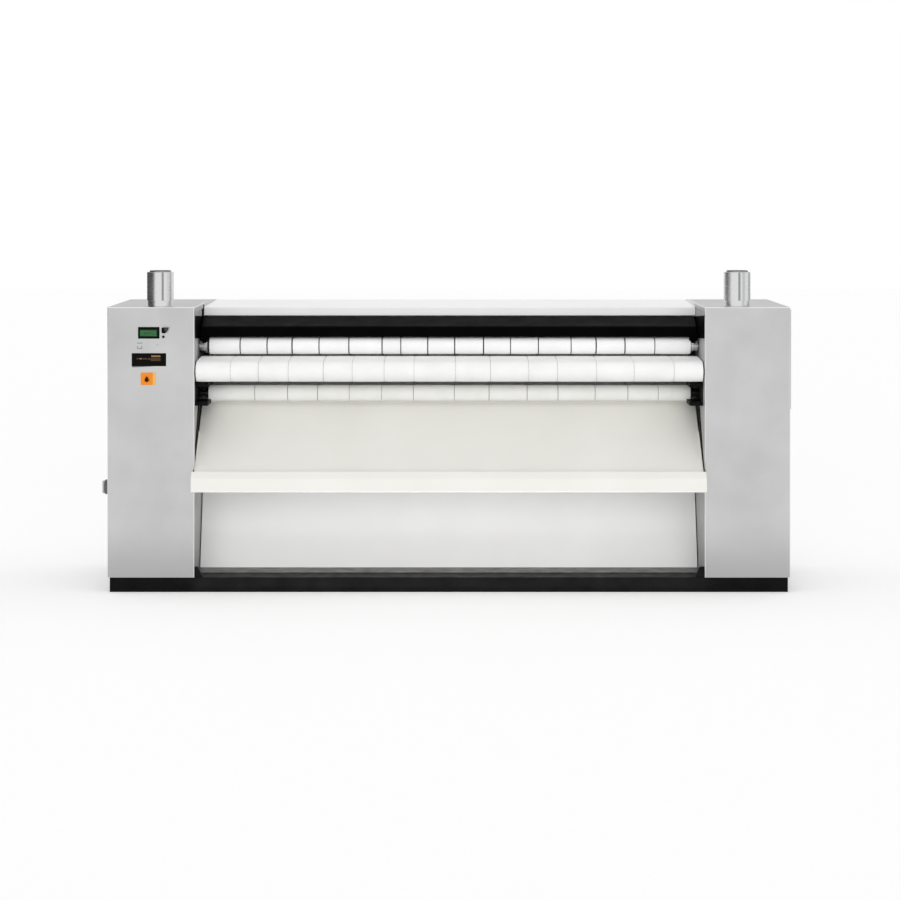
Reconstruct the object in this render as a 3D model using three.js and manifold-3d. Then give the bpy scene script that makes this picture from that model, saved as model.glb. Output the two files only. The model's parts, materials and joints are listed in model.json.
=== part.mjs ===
// Flatwork ironer: a heated drum between two cabinets, with felt belts that carry the linen round it.
// Millimetres. X runs across the machine, Y from the front to the back, Z up from the floor.
// The origin is on the floor, halfway across the machine and halfway between the cabinets' faces.
// Depths in this file are counted from the cabinets' front faces, and heights from the floor.
import * as THREE from "three";
import { mergeVertices } from "three/addons/utils/BufferGeometryUtils.js";
import Module from "manifold-3d";

const wasm = await Module();
wasm.setup();

// The whole machine
const overallWidth = 2790;
const cabinetWidth = 350;
const cabinetDepth = 700;
const cabinetHeight = 1165;

// Sheet metal, plates and clearances
const sheet = 2;
const wallPlate = 8;
const bendRadius = 8;
const smallBend = 4;
const play = 0.3;
const liningGap = 4;
const overrun = 5;
const weldDistance = 0.001;

// Sides of the round pieces, and the steps of the loops and rolled sheets
const roundSides = 16;
const drumSides = 40;
const pinSides = 12;
const rodSides = 6;
const bendSteps = 3;
const rollerStep = Math.PI / 12;
const drumStep = Math.PI / 24;

// Base frame and its gussets
const baseHeight = 60;
const baseSideInset = 9;
const baseSetback = 5;
const baseSkin = 3;
const baseRib = 40;
const baseRibCount = 3;
const gussetSetback = 3;
const gussetDepth = 12;
const gussetHeight = 42;
const gussetTop = 18;
const gussetFoot = 36;

// Floor pan, inclined lower panel and the two cross beams
const floorPanSetback = 110;
const floorPanSheet = 3;
const lowerPanelFoot = 247;
const lowerPanelLean = 142;
const lowerPanelDrop = 690;
const frontBeam = 40;
const frontBeamRise = 5;
const rearBeam = 60;
const rearBeamInset = 100;
const rearBeamHeight = 300;

// Top cover over the drum, and the ledges that carry it
const coverFrontDepth = 360;
const coverFrontDrop = 17;
const coverLip = 37;
const coverReturn = 15;
const coverRearLip = 35;
const coverRearDrop = 3;
const coverSideGap = 9;
const topFlange = 20;
const topFlangeFront = 120;
const ledgeWidth = 20;
const ledgeSheet = 3;

// Finger guard and the black cheeks that it swings in
const guardSheet = 3;
const guardAhead = 8;
const guardFoldDepth = 20;
const guardFoldRise = 42;
const guardFoldRadius = 25;
const guardTopGap = 2.3;
const guardFootGap = 4;
const guardFootAhead = 30;
const guardLugDrop = 14;
const guardLugGap = 2;
const guardLugWidth = 20;
const guardSideGap = 9;
const guardPivotDrop = 12;
const guardPivotInset = 12;
const guardEarDepth = 29;
const guardEarFoot = 15;
const guardEarRise = 3;
const guardPin = 5;
const cheekFrontDepth = 5;
const cheekTopDrop = 35;
const cheekRearDepth = 30;
const cheekFootRise = 11;
const cheekFootDrop = 6;
const cheekStepDrop = 23;
const cheekStepDepth = 100;

// Heated drum, its journals and bearings, and the heater carrier inside it
const drumRadius = 162.5;
const drumWall = 22;
const drumHead = 12;
const drumEndGap = 41;
const drumRearInset = 230;
const drumDrop = 322.8;
const journalRadius = 40;
const journalBore = 30;
const bearingRadius = 75;
const bearingLength = 40;
const bearingFlange = 105;
const bearingFlangeSheet = 12;
const journalEnd = 5;
const heaterTube = 22;
const heaterCup = 8;
const heaterBush = 20;
const heaterRodRadius = 6;
const heaterCircleRadius = 110;
const heaterRodEndGap = 60;
const heaterRodCount = 6;
const heaterSpiderRim = 8;
const heaterSpider = 4;
const heaterSpiderCount = 2;

// Belt drive of the drum, in the right cabinet
const pulleyGap = 3;
const pulleyWidth = 34;
const pulleyFlange = 3;
const pulleyRim = 6;
const drumPulleyRadius = 110;
const motorPulleyRadius = 36;
const motorShaft = 12;
const motorShaftLength = 25;
const motorHeight = 420;
const driveBelt = 4;
const driveBeltWidth = 25;
const gearboxHalf = 60;
const gearboxStepGap = 4;
const gearboxStep = 32;
const gearboxReach = 112;
const motorRadius = 55;
const motorLength = 160;

// Rollers: a body, thinner hubs up to the walls and stubs that run in the wall plates
const hubShare = 0.77;
const stubRadius = 10;
const stubReach = 5;
const rollerEndGap = 37;
const feedRollerEndGap = 5;
const ironingRollerRadius = 31;
const turnRollerRadius = 22;
const outfeedFrontRadius = 29.5;
const outfeedRearRadius = 17;
const feedNoseRadius = 38;
const feedRearRadius = 24.7;

// Where the rollers sit: clear of the drum by a gap and at an angle around it, or from each other
const pressRollerGap = 85;
const pressRollerAngle = 147.54;
const rearTopGap = 36.7;
const rearTopAngle = 40.51;
const rearBottomGap = 41.7;
const rearBottomAngle = -41.93;
const turnRollerGap = 17.9;
const turnRollerAngle = 226.24;
const outfeedRearGap = 17.3;
const outfeedRearAngle = 199.04;
const outfeedGap = 11.1;
const outfeedAngle = 162.9;
const feedNip = 8.5;
const feedReach = 193.7;
const feedFall = 22;

// Belts: each bank of belts is a loop, with a groove between neighbouring belts at the front roller
const beltSheet = 3;
const beltGroove = 2;
const beltGrooveWidth = 3;
const beltEdge = 4;
const grooveSpan = Math.PI * 0.9;
const grooveSteps = 3;
const ironingSeamShares = [
  0.064, 0.12, 0.172, 0.228, 0.29, 0.359, 0.398, 0.454, 0.51, 0.57, 0.626, 0.684, 0.752, 0.804, 0.864, 0.926,
];
const outfeedSeamShares = [
  0.096, 0.164, 0.226, 0.292, 0.359, 0.425, 0.51, 0.582, 0.661, 0.725, 0.802, 0.87, 0.933,
];
const feedSeamShares = [
  0.068, 0.123, 0.182, 0.251, 0.308, 0.371, 0.43, 0.512, 0.581, 0.656, 0.713, 0.79, 0.864, 0.943,
];

// Feed bed under the top run of the feed belts
const bedStartGap = 9;
const bedEndGap = 10;
const bedLeg = 20;

// Stripper bar with its fingers, in front of the drum
const stripperBar = 12;
const stripperGap = 12.5;
const fingerCount = 8;
const fingerWidth = 16;
const fingerSheet = 2;
const fingerDrop = 6;

// Black brackets at the ends of the outfeed rollers
const bracketFrontDepth = 60;
const bracketGap = 3;
const bracketFlangeReach = 55;
const bracketFlangeEndGap = 2;
const bracketTopFlange = 22;
const bracketFootFlange = 16;
const bracketHeight = 98;
const bracketRearReach = 25;
const bracketTailFront = 9;
const bracketTailRear = 3;

// Linen tray: a rolled hem behind, a chute, and a trough with an upstand at the front
const traySheet = 3;
const trayHem = 6;
const trayHemBehind = 19;
const trayHemBelow = 26;
const trayDrop = 324;
const trayKneeOut = 59;
const trayOut = 123;
const trayBottomFall = 3;
const trayLip = 51;
const trayBevel = 30;
const trayBevelRise = 25;
const trayRim = 12;
const trayRimSheet = 3;
const trayLedge = 3;
const trayLedgeWidth = 16;

// Exhaust stack on each cabinet
const stackOffset = 140;
const stackDepth = 62;
const stackBore = 41;
const stackSpigot = 47;
const stackSpigotDepth = 15;
const stackCollar = 50;
const stackCollarHeight = 25;
const stackSleeve = 55;
const stackHeight = 141.6;
const stackRing = 44;
const stackRingRise = 6.1;

// Exhaust fan under each stack
const fanWidth = 110;
const fanWall = 3;
const fanDepth = 215;
const fanDrop = 155;
const scrollRadius = 100;
const neckHalf = 52;
const neckRearHeight = 28;
const neckFrontHeight = 38;
const fanInlet = 50;
const fanMotorRadius = 45;
const fanMotorLength = 50;
const fanShaft = 8;
const fanShaftLength = 40;
const impellerRadius = 80;
const impellerWidth = 70;
const impellerDisc = 3;
const impellerHub = 20;
const bladeCount = 8;
const bladeLength = 26;
const bladeSheet = 3;
const bladeAngle = Math.PI / 5;

// Covers on the outer side of the right cabinet
const coverPanProud = 7;
const coverPanMargin = 20;
const coverPanDrop = 10;
const coverPanHeight = 410;
const lowerCoverProud = 3;
const lowerCoverGap = 3;
const lowerCoverHeight = 212;

// Controls on the front of the left cabinet: distances out from the wall and down from the top
const displayOffset = 180.5;
const displayDrop = 105.2;
const bezelWidth = 87.4;
const bezelHeight = 47.4;
const bezelProud = 4;
const windowWidth = 71.5;
const windowHeight = 31;
const windowGlass = 2.5;
const windowSink = 0.5;
const bezelBossShare = 0.8;
const selectorOffset = 117.6;
const selectorDrop = 95.4;
const selectorRadius = 11;
const selectorLength = 12;
const selectorShaft = 3;
const selectorWing = 18;
const selectorWingWidth = 6;
const selectorPoint = 35;
const startOffset = 120.8;
const startDrop = 121.5;
const startRadius = 5;
const startProud = 4;
const startTravel = 2;
const plateOffset = 180;
const plateDrop = 215;
const plateWidth = 140.5;
const plateHeight = 53;
const plateSheet = 2;
const stopOffset = 183.3;
const stopDrop = 293;
const stopPlateWidth = 60.5;
const stopPlateHeight = 51;
const stopButtonShift = 5;
const stopButtonFall = 4.2;
const stopButtonRadius = 8.5;
const stopButtonTip = 16.2;
const stopButtonHead = 3;
const stopStem = 6;
const stopTravel = 4;
const controlBoxDepth = 36;
const controlBoxMargin = 12.6;
const controlBoxRim = 3.5;
const buttonBore = 16;

// Main switch on the outer side of the left cabinet
const isolatorDepth = 160;
const isolatorHeight = 411;
const isolatorPlate = 66;
const isolatorPlateSheet = 12;
const isolatorRadius = 31.5;
const isolatorLength = 30.4;
const isolatorShaft = 5;
const isolatorShaftLength = 9;
const isolatorGrip = 12;
const isolatorGripHeight = 10;

// Places worked out from the sizes above
const wallX = overallWidth / 2 - cabinetWidth;
const outerX = overallWidth / 2;
const liningX = wallX - liningGap;
const plateX = wallX + wallPlate;
const innerFront = sheet + play;
const innerRear = cabinetDepth - sheet - play;
const innerTop = cabinetHeight - sheet - play;
const beltBuild = play + beltSheet;
const drumPlace = [cabinetDepth - drumRearInset, cabinetHeight - drumDrop];
const pressPlace = aroundDrum(ironingRollerRadius + pressRollerGap, pressRollerAngle);
const rearTopPlace = aroundDrum(ironingRollerRadius + rearTopGap, rearTopAngle);
const rearBottomPlace = aroundDrum(ironingRollerRadius + rearBottomGap, rearBottomAngle);
const turnPlace = aroundDrum(turnRollerRadius + turnRollerGap, turnRollerAngle);
const outfeedRearPlace = aroundDrum(outfeedRearRadius + outfeedRearGap, outfeedRearAngle);
const outfeedFrontPlace = polar(
  outfeedRearPlace,
  outfeedRearRadius + outfeedFrontRadius + outfeedGap,
  outfeedAngle,
);
const feedRearPlace = [
  pressPlace[0],
  pressPlace[1] - ironingRollerRadius - beltBuild - feedNip - beltBuild - feedRearRadius,
];
const feedNosePlace = [feedRearPlace[0] - feedReach, feedRearPlace[1] - feedFall];
const runTop = Math.max(pressPlace[1], rearTopPlace[1]) + ironingRollerRadius + beltBuild;
const lowerPanelTop = cabinetHeight - lowerPanelDrop;
const coverFrontTop = cabinetHeight - coverFrontDrop;
const coverRearTop = cabinetHeight - coverRearDrop;
const coverFoot = coverFrontTop - coverLip;
const guardTop = coverFoot - guardTopGap;
const guardFoot = runTop + guardFootGap;
const guardPivot = [coverFrontDepth + guardPivotInset, guardTop - guardPivotDrop];
const motorPlace = [drumPlace[0], motorHeight];
const pulleyX = plateX + bearingLength + pulleyGap;
const fanPlace = [fanDepth, cabinetHeight - fanDrop];
const stackX = wallX + stackOffset;
const hemPlace = [outfeedRearPlace[0] + trayHemBehind, outfeedRearPlace[1] - trayHemBelow];
const kneePlace = [-trayKneeOut, hemPlace[1] - trayDrop];

// The finishes
const brushedSteel = finish(0xc4c5c5, 0.38, 0.85);
const polishedSteel = finish(0xb9babb, 0.22, 0.95);
const zincSteel = finish(0x9a9c9d, 0.5, 0.8);
const turnedSteel = finish(0xaeb0b2, 0.3, 0.95);
const blackPaint = finish(0x121211, 0.55, 0.1);
const whiteEnamel = finish(0xf1f0ed, 0.4, 0);
const creamEnamel = finish(0xe6e4dc, 0.45, 0);
const felt = finish(0xf4f3f0, 0.95, 0);
const castIron = finish(0x4b4f52, 0.6, 0.6);
const motorPaint = finish(0x59636b, 0.5, 0.2);
const rubber = finish(0x1c1c1c, 0.85, 0);
const blackPlastic = finish(0x17181a, 0.4, 0);
const greyPlastic = finish(0x55585a, 0.45, 0);
const greenGlass = finish(0x3f5946, 0.15, 0);
const orangePlastic = finish(0xf48d28, 0.4, 0);
const redPlastic = finish(0x4a160c, 0.4, 0);

const machine = new THREE.Group();
machine.name = "flatwork_ironer";

function finish(color, roughness, metalness) {
  return new THREE.MeshStandardMaterial({ color, roughness, metalness });
}

// A depth counted from the cabinets' front faces, as a Y value.
function behindFront(depth) {
  return depth - cabinetDepth / 2;
}

// The place at a distance and an angle in degrees from another place.
function polar([depth, height], distance, degrees) {
  const angle = THREE.MathUtils.degToRad(degrees);
  return [depth + distance * Math.cos(angle), height + distance * Math.sin(angle)];
}

// The place of a roller around the drum, at a distance from the drum's surface.
function aroundDrum(distance, degrees) {
  return polar(drumPlace, drumRadius + distance, degrees);
}

// The radius of a polygon whose flat sides clear a round of the given radius.
function boreRadius(radius, sides = roundSides) {
  return radius / Math.cos(Math.PI / sides);
}

// Distances out from the middle of the machine, as the low and high X on one side of it.
function span(side, near, far) {
  return side > 0 ? [near, far] : [-far, -near];
}

function sideName(side) {
  return side > 0 ? "right" : "left";
}

// A closed surface as a solid, with its faces turned outwards.
function solid(geometry) {
  geometry.deleteAttribute("normal");
  geometry.deleteAttribute("uv");
  const merged = mergeVertices(geometry, weldDistance);
  const corners = merged.index.array;
  const kept = [];
  for (let i = 0; i < corners.length; i += 3) {
    const [a, b, c] = corners.slice(i, i + 3);
    if (a !== b && b !== c && c !== a) kept.push(a, b, c);
  }
  const made = manifold(merged.attributes.position.array, kept);
  return made.volume() > 0 ? made : manifold(merged.attributes.position.array, kept.reverse());
}

function manifold(vertProperties, corners) {
  return new wasm.Manifold(
    new wasm.Mesh({ numProp: 3, vertProperties, triVerts: new Uint32Array(corners) }),
  );
}

// A solid as a named mesh of the machine, at a place in X, depth and height where one is given.
function add(name, body, material, at) {
  const made = body.getMesh();
  const geometry = new THREE.BufferGeometry();
  geometry.setAttribute("position", new THREE.BufferAttribute(made.vertProperties, 3));
  geometry.setIndex(new THREE.BufferAttribute(made.triVerts, 1));
  geometry.computeVertexNormals();
  const mesh = new THREE.Mesh(geometry, material);
  mesh.name = name;
  if (at) mesh.position.set(at[0], behindFront(at[1]), at[2]);
  machine.add(mesh);
}

function box([x0, x1], [depth0, depth1], [height0, height1]) {
  const geometry = new THREE.BoxGeometry(x1 - x0, depth1 - depth0, height1 - height0);
  geometry.translate((x0 + x1) / 2, behindFront((depth0 + depth1) / 2), (height0 + height1) / 2);
  return solid(geometry);
}

// An outline of depths and heights, drawn out along X.
function prism(outline, [x0, x1], hole) {
  const place = ([depth, height]) => new THREE.Vector2(behindFront(depth), height);
  const shape = new THREE.Shape(outline.map(place));
  if (hole) shape.holes.push(new THREE.Path(hole.map(place)));
  const geometry = new THREE.ExtrudeGeometry(shape, { depth: x1 - x0, bevelEnabled: false });
  const across = new THREE.Vector3(1, 0, 0);
  const back = new THREE.Vector3(0, 1, 0);
  const up = new THREE.Vector3(0, 0, 1);
  geometry.applyMatrix4(new THREE.Matrix4().makeBasis(back, up, across));
  geometry.translate(x0, 0, 0);
  return solid(geometry);
}

// An outline of X values and heights, drawn out from the front to the back.
function plate(outline, [depth0, depth1]) {
  const shape = new THREE.Shape(outline.map(([x, height]) => new THREE.Vector2(x, height)));
  const geometry = new THREE.ExtrudeGeometry(shape, { depth: depth1 - depth0, bevelEnabled: false });
  geometry.rotateX(Math.PI / 2);
  geometry.translate(0, behindFront(depth1), 0);
  return solid(geometry);
}

// A profile of radii and places along the axis, turned about X.
function turned(profile, [depth, height], sides = roundSides) {
  const points = profile.map(([radius, along]) => new THREE.Vector2(radius, along));
  const geometry = new THREE.LatheGeometry(points, sides);
  geometry.rotateZ(-Math.PI / 2);
  geometry.translate(0, behindFront(depth), height);
  return solid(geometry);
}

function rod(radius, [x0, x1], place, sides = roundSides) {
  return turned([[0, x0], [radius, x0], [radius, x1], [0, x1]], place, sides);
}

// A ring about X, closed on itself.
function ring(inner, outer, [x0, x1], place, sides = roundSides) {
  return turned([[inner, x0], [outer, x0], [outer, x1], [inner, x1], [inner, x0]], place, sides);
}

// A rod that points to the back, from one depth to another.
function pushRod(radius, [depth0, depth1], x, height, sides = roundSides) {
  const geometry = new THREE.CylinderGeometry(radius, radius, depth1 - depth0, sides);
  geometry.translate(x, behindFront((depth0 + depth1) / 2), height);
  return solid(geometry);
}

// A profile of radii and heights, turned about an upright axis.
function upright(profile, x, depth, sides = roundSides) {
  const points = profile.map(([radius, height]) => new THREE.Vector2(radius, height));
  const geometry = new THREE.LatheGeometry(points, sides);
  geometry.rotateX(Math.PI / 2);
  geometry.translate(x, behindFront(depth), 0);
  return solid(geometry);
}

// An upright cylinder between two heights.
function post(radius, [height0, height1], x, depth) {
  return upright([[0, height0], [radius, height0], [radius, height1], [0, height1]], x, depth);
}

// An open line of points with its corners rounded.
function rounded(points, radius) {
  const line = [points[0]];
  for (let i = 1; i < points.length - 1; i += 1) {
    const corner = new THREE.Vector2(...points[i]);
    const before = new THREE.Vector2(...points[i - 1]).sub(corner).normalize();
    const after = new THREE.Vector2(...points[i + 1]).sub(corner).normalize();
    const half = Math.acos(before.dot(after)) / 2;
    const setback = radius / Math.tan(half);
    const centre = before.clone().add(after).normalize().multiplyScalar(radius / Math.sin(half)).add(corner);
    const start = before.multiplyScalar(setback).add(corner).sub(centre);
    const end = after.multiplyScalar(setback).add(corner).sub(centre);
    const turn = Math.atan2(start.cross(end), start.dot(end));
    for (let step = 0; step <= bendSteps; step += 1) {
      const spoke = start.clone().rotateAround(new THREE.Vector2(), (turn * step) / bendSteps).add(centre);
      line.push([spoke.x, spoke.y]);
    }
  }
  line.push(points[points.length - 1]);
  return line;
}

// A line of points moved to its left by a distance, with its corners kept sharp.
function beside(line, distance, closed = false) {
  const count = line.length;
  return line.map((point, i) => {
    const here = new THREE.Vector2(...point);
    const last = closed ? line[(i + count - 1) % count] : line[Math.max(i - 1, 0)];
    const next = closed ? line[(i + 1) % count] : line[Math.min(i + 1, count - 1)];
    const arrive = here.clone().sub(new THREE.Vector2(...last));
    const leave = new THREE.Vector2(...next).sub(here);
    if (arrive.length() === 0) arrive.copy(leave);
    if (leave.length() === 0) leave.copy(arrive);
    const left = (way) => new THREE.Vector2(-way.y, way.x).normalize();
    const out = left(arrive).add(left(leave)).normalize();
    here.addScaledVector(out, distance / out.dot(left(leave)));
    return [here.x, here.y];
  });
}

// The outline of a folded sheet: the line of one face, and the other face to its left.
function folded(points, thickness, radius = smallBend) {
  const face = rounded(points, radius);
  return [...face, ...beside(face, thickness).reverse()];
}

// The straight run from one wheel of a loop to the next: its two ends and its direction. A wheel's
// radius is positive where the loop goes round it, and negative where the loop bends against it.
function straight(from, to) {
  const across = new THREE.Vector2(to.place[0] - from.place[0], to.place[1] - from.place[1]);
  const angle = across.angle() - Math.asin((to.radius - from.radius) / across.length());
  const left = new THREE.Vector2(-Math.sin(angle), Math.cos(angle));
  const touch = (wheel) => [wheel.place[0] - wheel.radius * left.x, wheel.place[1] - wheel.radius * left.y];
  return { angle, ends: [touch(from), touch(to)] };
}

// One face of a belt that runs round the wheels, as a closed outline that clears each of them.
function loopFace(wheels, offset) {
  const sized = wheels.map(({ place, radius, against }) => ({
    place,
    radius: against ? -(radius + beltBuildOf(offset)) : radius + offset.inner,
    step: against ? drumStep : rollerStep,
  }));
  const full = 2 * Math.PI;
  const points = [];
  sized.forEach((wheel, i) => {
    const arrive = straight(sized[(i + sized.length - 1) % sized.length], wheel).angle;
    const leave = straight(wheel, sized[(i + 1) % sized.length]).angle;
    const sign = Math.sign(wheel.radius);
    const swept = (((sign * (leave - arrive)) % full) + full) % full;
    const count = Math.max(1, Math.ceil(swept / wheel.step));
    const reach = Math.abs(wheel.radius) / Math.cos(swept / count / 2);
    for (let k = 0; k < count; k += 1) {
      const angle = arrive - (sign * Math.PI) / 2 + (sign * swept * (k + 1 / 2)) / count;
      points.push([wheel.place[0] + reach * Math.cos(angle), wheel.place[1] + reach * Math.sin(angle)]);
    }
  });
  return points;
}

// How far a face of the belt lies from a wheel that the belt bends against.
function beltBuildOf(offset) {
  return offset.whole - offset.inner + play;
}

// A belt of one thickness round a loop of wheels.
function beltLoop(wheels, thickness, across) {
  const whole = play + thickness;
  const outer = loopFace(wheels, { inner: whole, whole });
  const inner = loopFace(wheels, { inner: play, whole });
  return prism(outer, across, inner);
}

// The grooves between the belts of a bank, cut round the loop's front roller.
function cutSeams(bank, wheel, halfWidth, seamShares) {
  const floor = boreRadius(wheel.radius + beltBuild - beltGroove, grooveSteps * 2);
  const rim = wheel.radius + beltBuild + overrun;
  const start = Math.PI - grooveSpan / 2;
  const arc = (radius) =>
    Array.from({ length: grooveSteps + 1 }, (_, k) => {
      const angle = start + (grooveSpan * k) / grooveSteps;
      return [wheel.place[0] + radius * Math.cos(angle), wheel.place[1] + radius * Math.sin(angle)];
    });
  const outline = [...arc(rim), ...arc(floor).reverse()];
  const cutters = seamShares.map((share) => {
    const x = -halfWidth + 2 * halfWidth * share;
    return prism(outline, [x - beltGrooveWidth / 2, x + beltGrooveWidth / 2]);
  });
  return bank.subtract(wasm.Manifold.union(cutters));
}

// A roller with hubs and stubs, about its own axis.
function roller(radius, halfLength) {
  const hub = radius * hubShare;
  const end = plateX + stubReach;
  const profile = [
    [0, -end],
    [stubRadius, -end],
    [stubRadius, -liningX],
    [hub, -liningX],
    [hub, -halfLength],
    [radius, -halfLength],
    [radius, halfLength],
    [hub, halfLength],
    [hub, liningX],
    [stubRadius, liningX],
    [stubRadius, end],
    [0, end],
  ];
  return turned(profile, [cabinetDepth / 2, 0]);
}

const rollerHalf = wallX - rollerEndGap;
const ironingHalf = rollerHalf + beltEdge;
const feedHalf = wallX - feedRollerEndGap;
const rollers = [
  { name: "press_roller", place: pressPlace, radius: ironingRollerRadius, half: ironingHalf },
  { name: "rear_top_roller", place: rearTopPlace, radius: ironingRollerRadius, half: ironingHalf },
  { name: "rear_bottom_roller", place: rearBottomPlace, radius: ironingRollerRadius, half: ironingHalf },
  { name: "turn_roller", place: turnPlace, radius: turnRollerRadius, half: ironingHalf },
  { name: "outfeed_front_roller", place: outfeedFrontPlace, radius: outfeedFrontRadius, half: ironingHalf },
  { name: "outfeed_rear_roller", place: outfeedRearPlace, radius: outfeedRearRadius, half: ironingHalf },
  { name: "feed_nose_roller", place: feedNosePlace, radius: feedNoseRadius, half: feedHalf },
  { name: "feed_rear_roller", place: feedRearPlace, radius: feedRearRadius, half: feedHalf },
];

function addRollers() {
  for (const { name, place, radius, half } of rollers) {
    add(name, roller(radius, half), name.startsWith("feed") ? turnedSteel : polishedSteel, [0, ...place]);
  }
}

function wheelOf(name) {
  return rollers.find((one) => one.name === name);
}

const feedWheels = [wheelOf("feed_nose_roller"), wheelOf("feed_rear_roller")];

function addBelts() {
  const drumWheel = { place: drumPlace, radius: drumRadius, against: true };
  const ironing = [
    wheelOf("press_roller"),
    drumWheel,
    wheelOf("turn_roller"),
    wheelOf("rear_bottom_roller"),
    wheelOf("rear_top_roller"),
  ];
  const outfeed = [wheelOf("outfeed_front_roller"), wheelOf("outfeed_rear_roller")];
  const banks = [
    { name: "ironing_belts", wheels: ironing, half: rollerHalf, shares: ironingSeamShares },
    { name: "outfeed_belts", wheels: outfeed, half: rollerHalf, shares: outfeedSeamShares },
    { name: "feed_belts", wheels: feedWheels, half: feedHalf, shares: feedSeamShares },
  ];
  for (const { name, wheels, half, shares } of banks) {
    const bank = beltLoop(wheels, beltSheet, [-half, half]);
    add(name, cutSeams(bank, wheels[0], half, shares), felt);
  }
}

// The welded base: a skin with long ribs under it, and a gusset at the foot of each wall.
function addBase() {
  const halfWidth = outerX - baseSideInset;
  const depths = [baseSetback, cabinetDepth - baseSetback];
  let base = box([-halfWidth, halfWidth], depths, [0, baseHeight]);
  const clear = depths[1] - depths[0] - 2 * baseSkin - baseRibCount * baseRib;
  const channel = clear / (baseRibCount + 1);
  for (let i = 0; i <= baseRibCount; i += 1) {
    const start = depths[0] + baseSkin + i * (channel + baseRib);
    const across = [baseSkin - halfWidth, halfWidth - baseSkin];
    base = base.subtract(box(across, [start, start + channel], [-overrun, baseHeight - baseSkin]));
  }
  const gussetFront = baseSetback + gussetSetback;
  for (const side of [-1, 1]) {
    const outline = [
      [side * wallX, baseHeight - baseSkin],
      [side * (wallX - gussetFoot), baseHeight - baseSkin],
      [side * (wallX - gussetFoot), baseHeight + gussetDepth / 2],
      [side * (wallX - gussetTop), baseHeight + gussetHeight],
      [side * wallX, baseHeight + gussetHeight],
    ];
    base = base.add(plate(outline, [gussetFront, gussetFront + gussetDepth]));
  }
  add("base_frame", base, blackPaint);
}

// What closes the space between the cabinets below the drum, and what ties them together.
function addLowerBody() {
  const panDepths = [floorPanSetback, lowerPanelFoot - play];
  const between = [play - wallX, wallX - play];
  add("base_floor_pan", box(between, panDepths, [baseHeight, baseHeight + floorPanSheet]), zincSteel);
  const topDepth = lowerPanelFoot + lowerPanelLean;
  const outline = [
    [lowerPanelFoot, baseHeight],
    [topDepth, lowerPanelTop],
    [topDepth + sheet, lowerPanelTop],
    [lowerPanelFoot + sheet, baseHeight],
  ];
  add("lower_front_panel", prism(outline, [-liningX, liningX]), whiteEnamel);
  const beamTop = lowerPanelTop + frontBeamRise;
  const beamFront = topDepth + sheet + play;
  const walls = [-wallX, wallX];
  const beam = box(walls, [beamFront, beamFront + frontBeam], [beamTop - frontBeam, beamTop]);
  add("cross_beam_front", beam, castIron);
  const rearDepth = cabinetDepth - rearBeamInset;
  const rearDepths = [rearDepth - rearBeam / 2, rearDepth + rearBeam / 2];
  const rearHeights = [rearBeamHeight - rearBeam / 2, rearBeamHeight + rearBeam / 2];
  add("cross_beam_rear", box(walls, rearDepths, rearHeights), castIron);
  const rearPanelHeights = [baseHeight, cabinetHeight - coverRearLip - play];
  const rearPanel = box(between, [cabinetDepth - sheet, cabinetDepth], rearPanelHeights);
  add("centre_rear_panel", rearPanel, brushedSteel);
}

// The outer face of the top cover, from the foot of its rear lip to the end of its front return.
const coverLine = [
  [cabinetDepth, cabinetHeight - coverRearLip],
  [cabinetDepth, coverRearTop],
  [coverFrontDepth, coverFrontTop],
  [coverFrontDepth, coverFoot],
  [coverFrontDepth + coverReturn, coverFoot],
];

function addTopCover() {
  const end = wallX - coverSideGap;
  add("top_cover", prism(folded(coverLine, sheet), [-end, end]), whiteEnamel);
}

// What fits inside a casing, seen from the side: its front top corner is cut to clear the bend.
const sideOutline = [
  [innerFront, baseHeight],
  [innerFront, innerTop - bendRadius],
  [innerFront + bendRadius, innerTop],
  [innerRear, innerTop],
  [innerRear, baseHeight],
];

// The thick plate that each cabinet is built on: it holds the drum's bearing and the rollers' stubs.
function addInnerPlate(side) {
  let body = prism(sideOutline, span(side, wallX, plateX));
  const through = span(side, wallX - overrun, plateX + overrun);
  body = body.subtract(rod(boreRadius(journalRadius + liningGap), through, drumPlace));
  for (const { place } of rollers) {
    body = body.subtract(rod(boreRadius(stubRadius + play, pinSides), through, place, pinSides));
  }
  const slope = (coverRearTop - coverFrontTop) / (cabinetDepth - coverFrontDepth);
  const underCover = (depth) => coverFrontTop + (depth - coverFrontDepth) * slope - sheet - 2 * play;
  const ledge = [coverFrontDepth + coverReturn, innerRear - coverRearLip];
  const outline = [
    [ledge[0], underCover(ledge[0])],
    [ledge[1], underCover(ledge[1])],
    [ledge[1], underCover(ledge[1]) - ledgeSheet],
    [ledge[0], underCover(ledge[0]) - ledgeSheet],
  ];
  body = body.add(prism(outline, span(side, wallX - ledgeWidth, wallX + wallPlate / 2)));
  add(`${sideName(side)}_inner_plate`, body, zincSteel);
}

// The folded front and top of a cabinet, with the holes for the exhaust and for the controls. A flange of
// the top reaches over the end of the top cover.
function addCasing(side) {
  const line = [
    [0, baseHeight],
    [0, cabinetHeight],
    [cabinetDepth, cabinetHeight],
  ];
  const outline = [...rounded(line, bendRadius), ...beside(rounded(line, bendRadius), -sheet).reverse()];
  let body = prism(outline, span(side, wallX, outerX));
  const flangeDepths = [topFlangeFront, cabinetDepth];
  const flangeHeights = [cabinetHeight - sheet, cabinetHeight];
  body = body.add(box(span(side, wallX - topFlange, wallX + wallPlate), flangeDepths, flangeHeights));
  const hole = boreRadius(stackSpigot + play);
  const heights = [cabinetHeight - sheet - overrun, cabinetHeight + overrun];
  body = body.subtract(post(hole, heights, side * stackX, stackDepth));
  if (side < 0) {
    body = body.subtract(wasm.Manifold.union(controlHoles([-overrun, sheet + overrun])));
  }
  add(`${sideName(side)}_casing`, body, brushedSteel);
}

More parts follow.
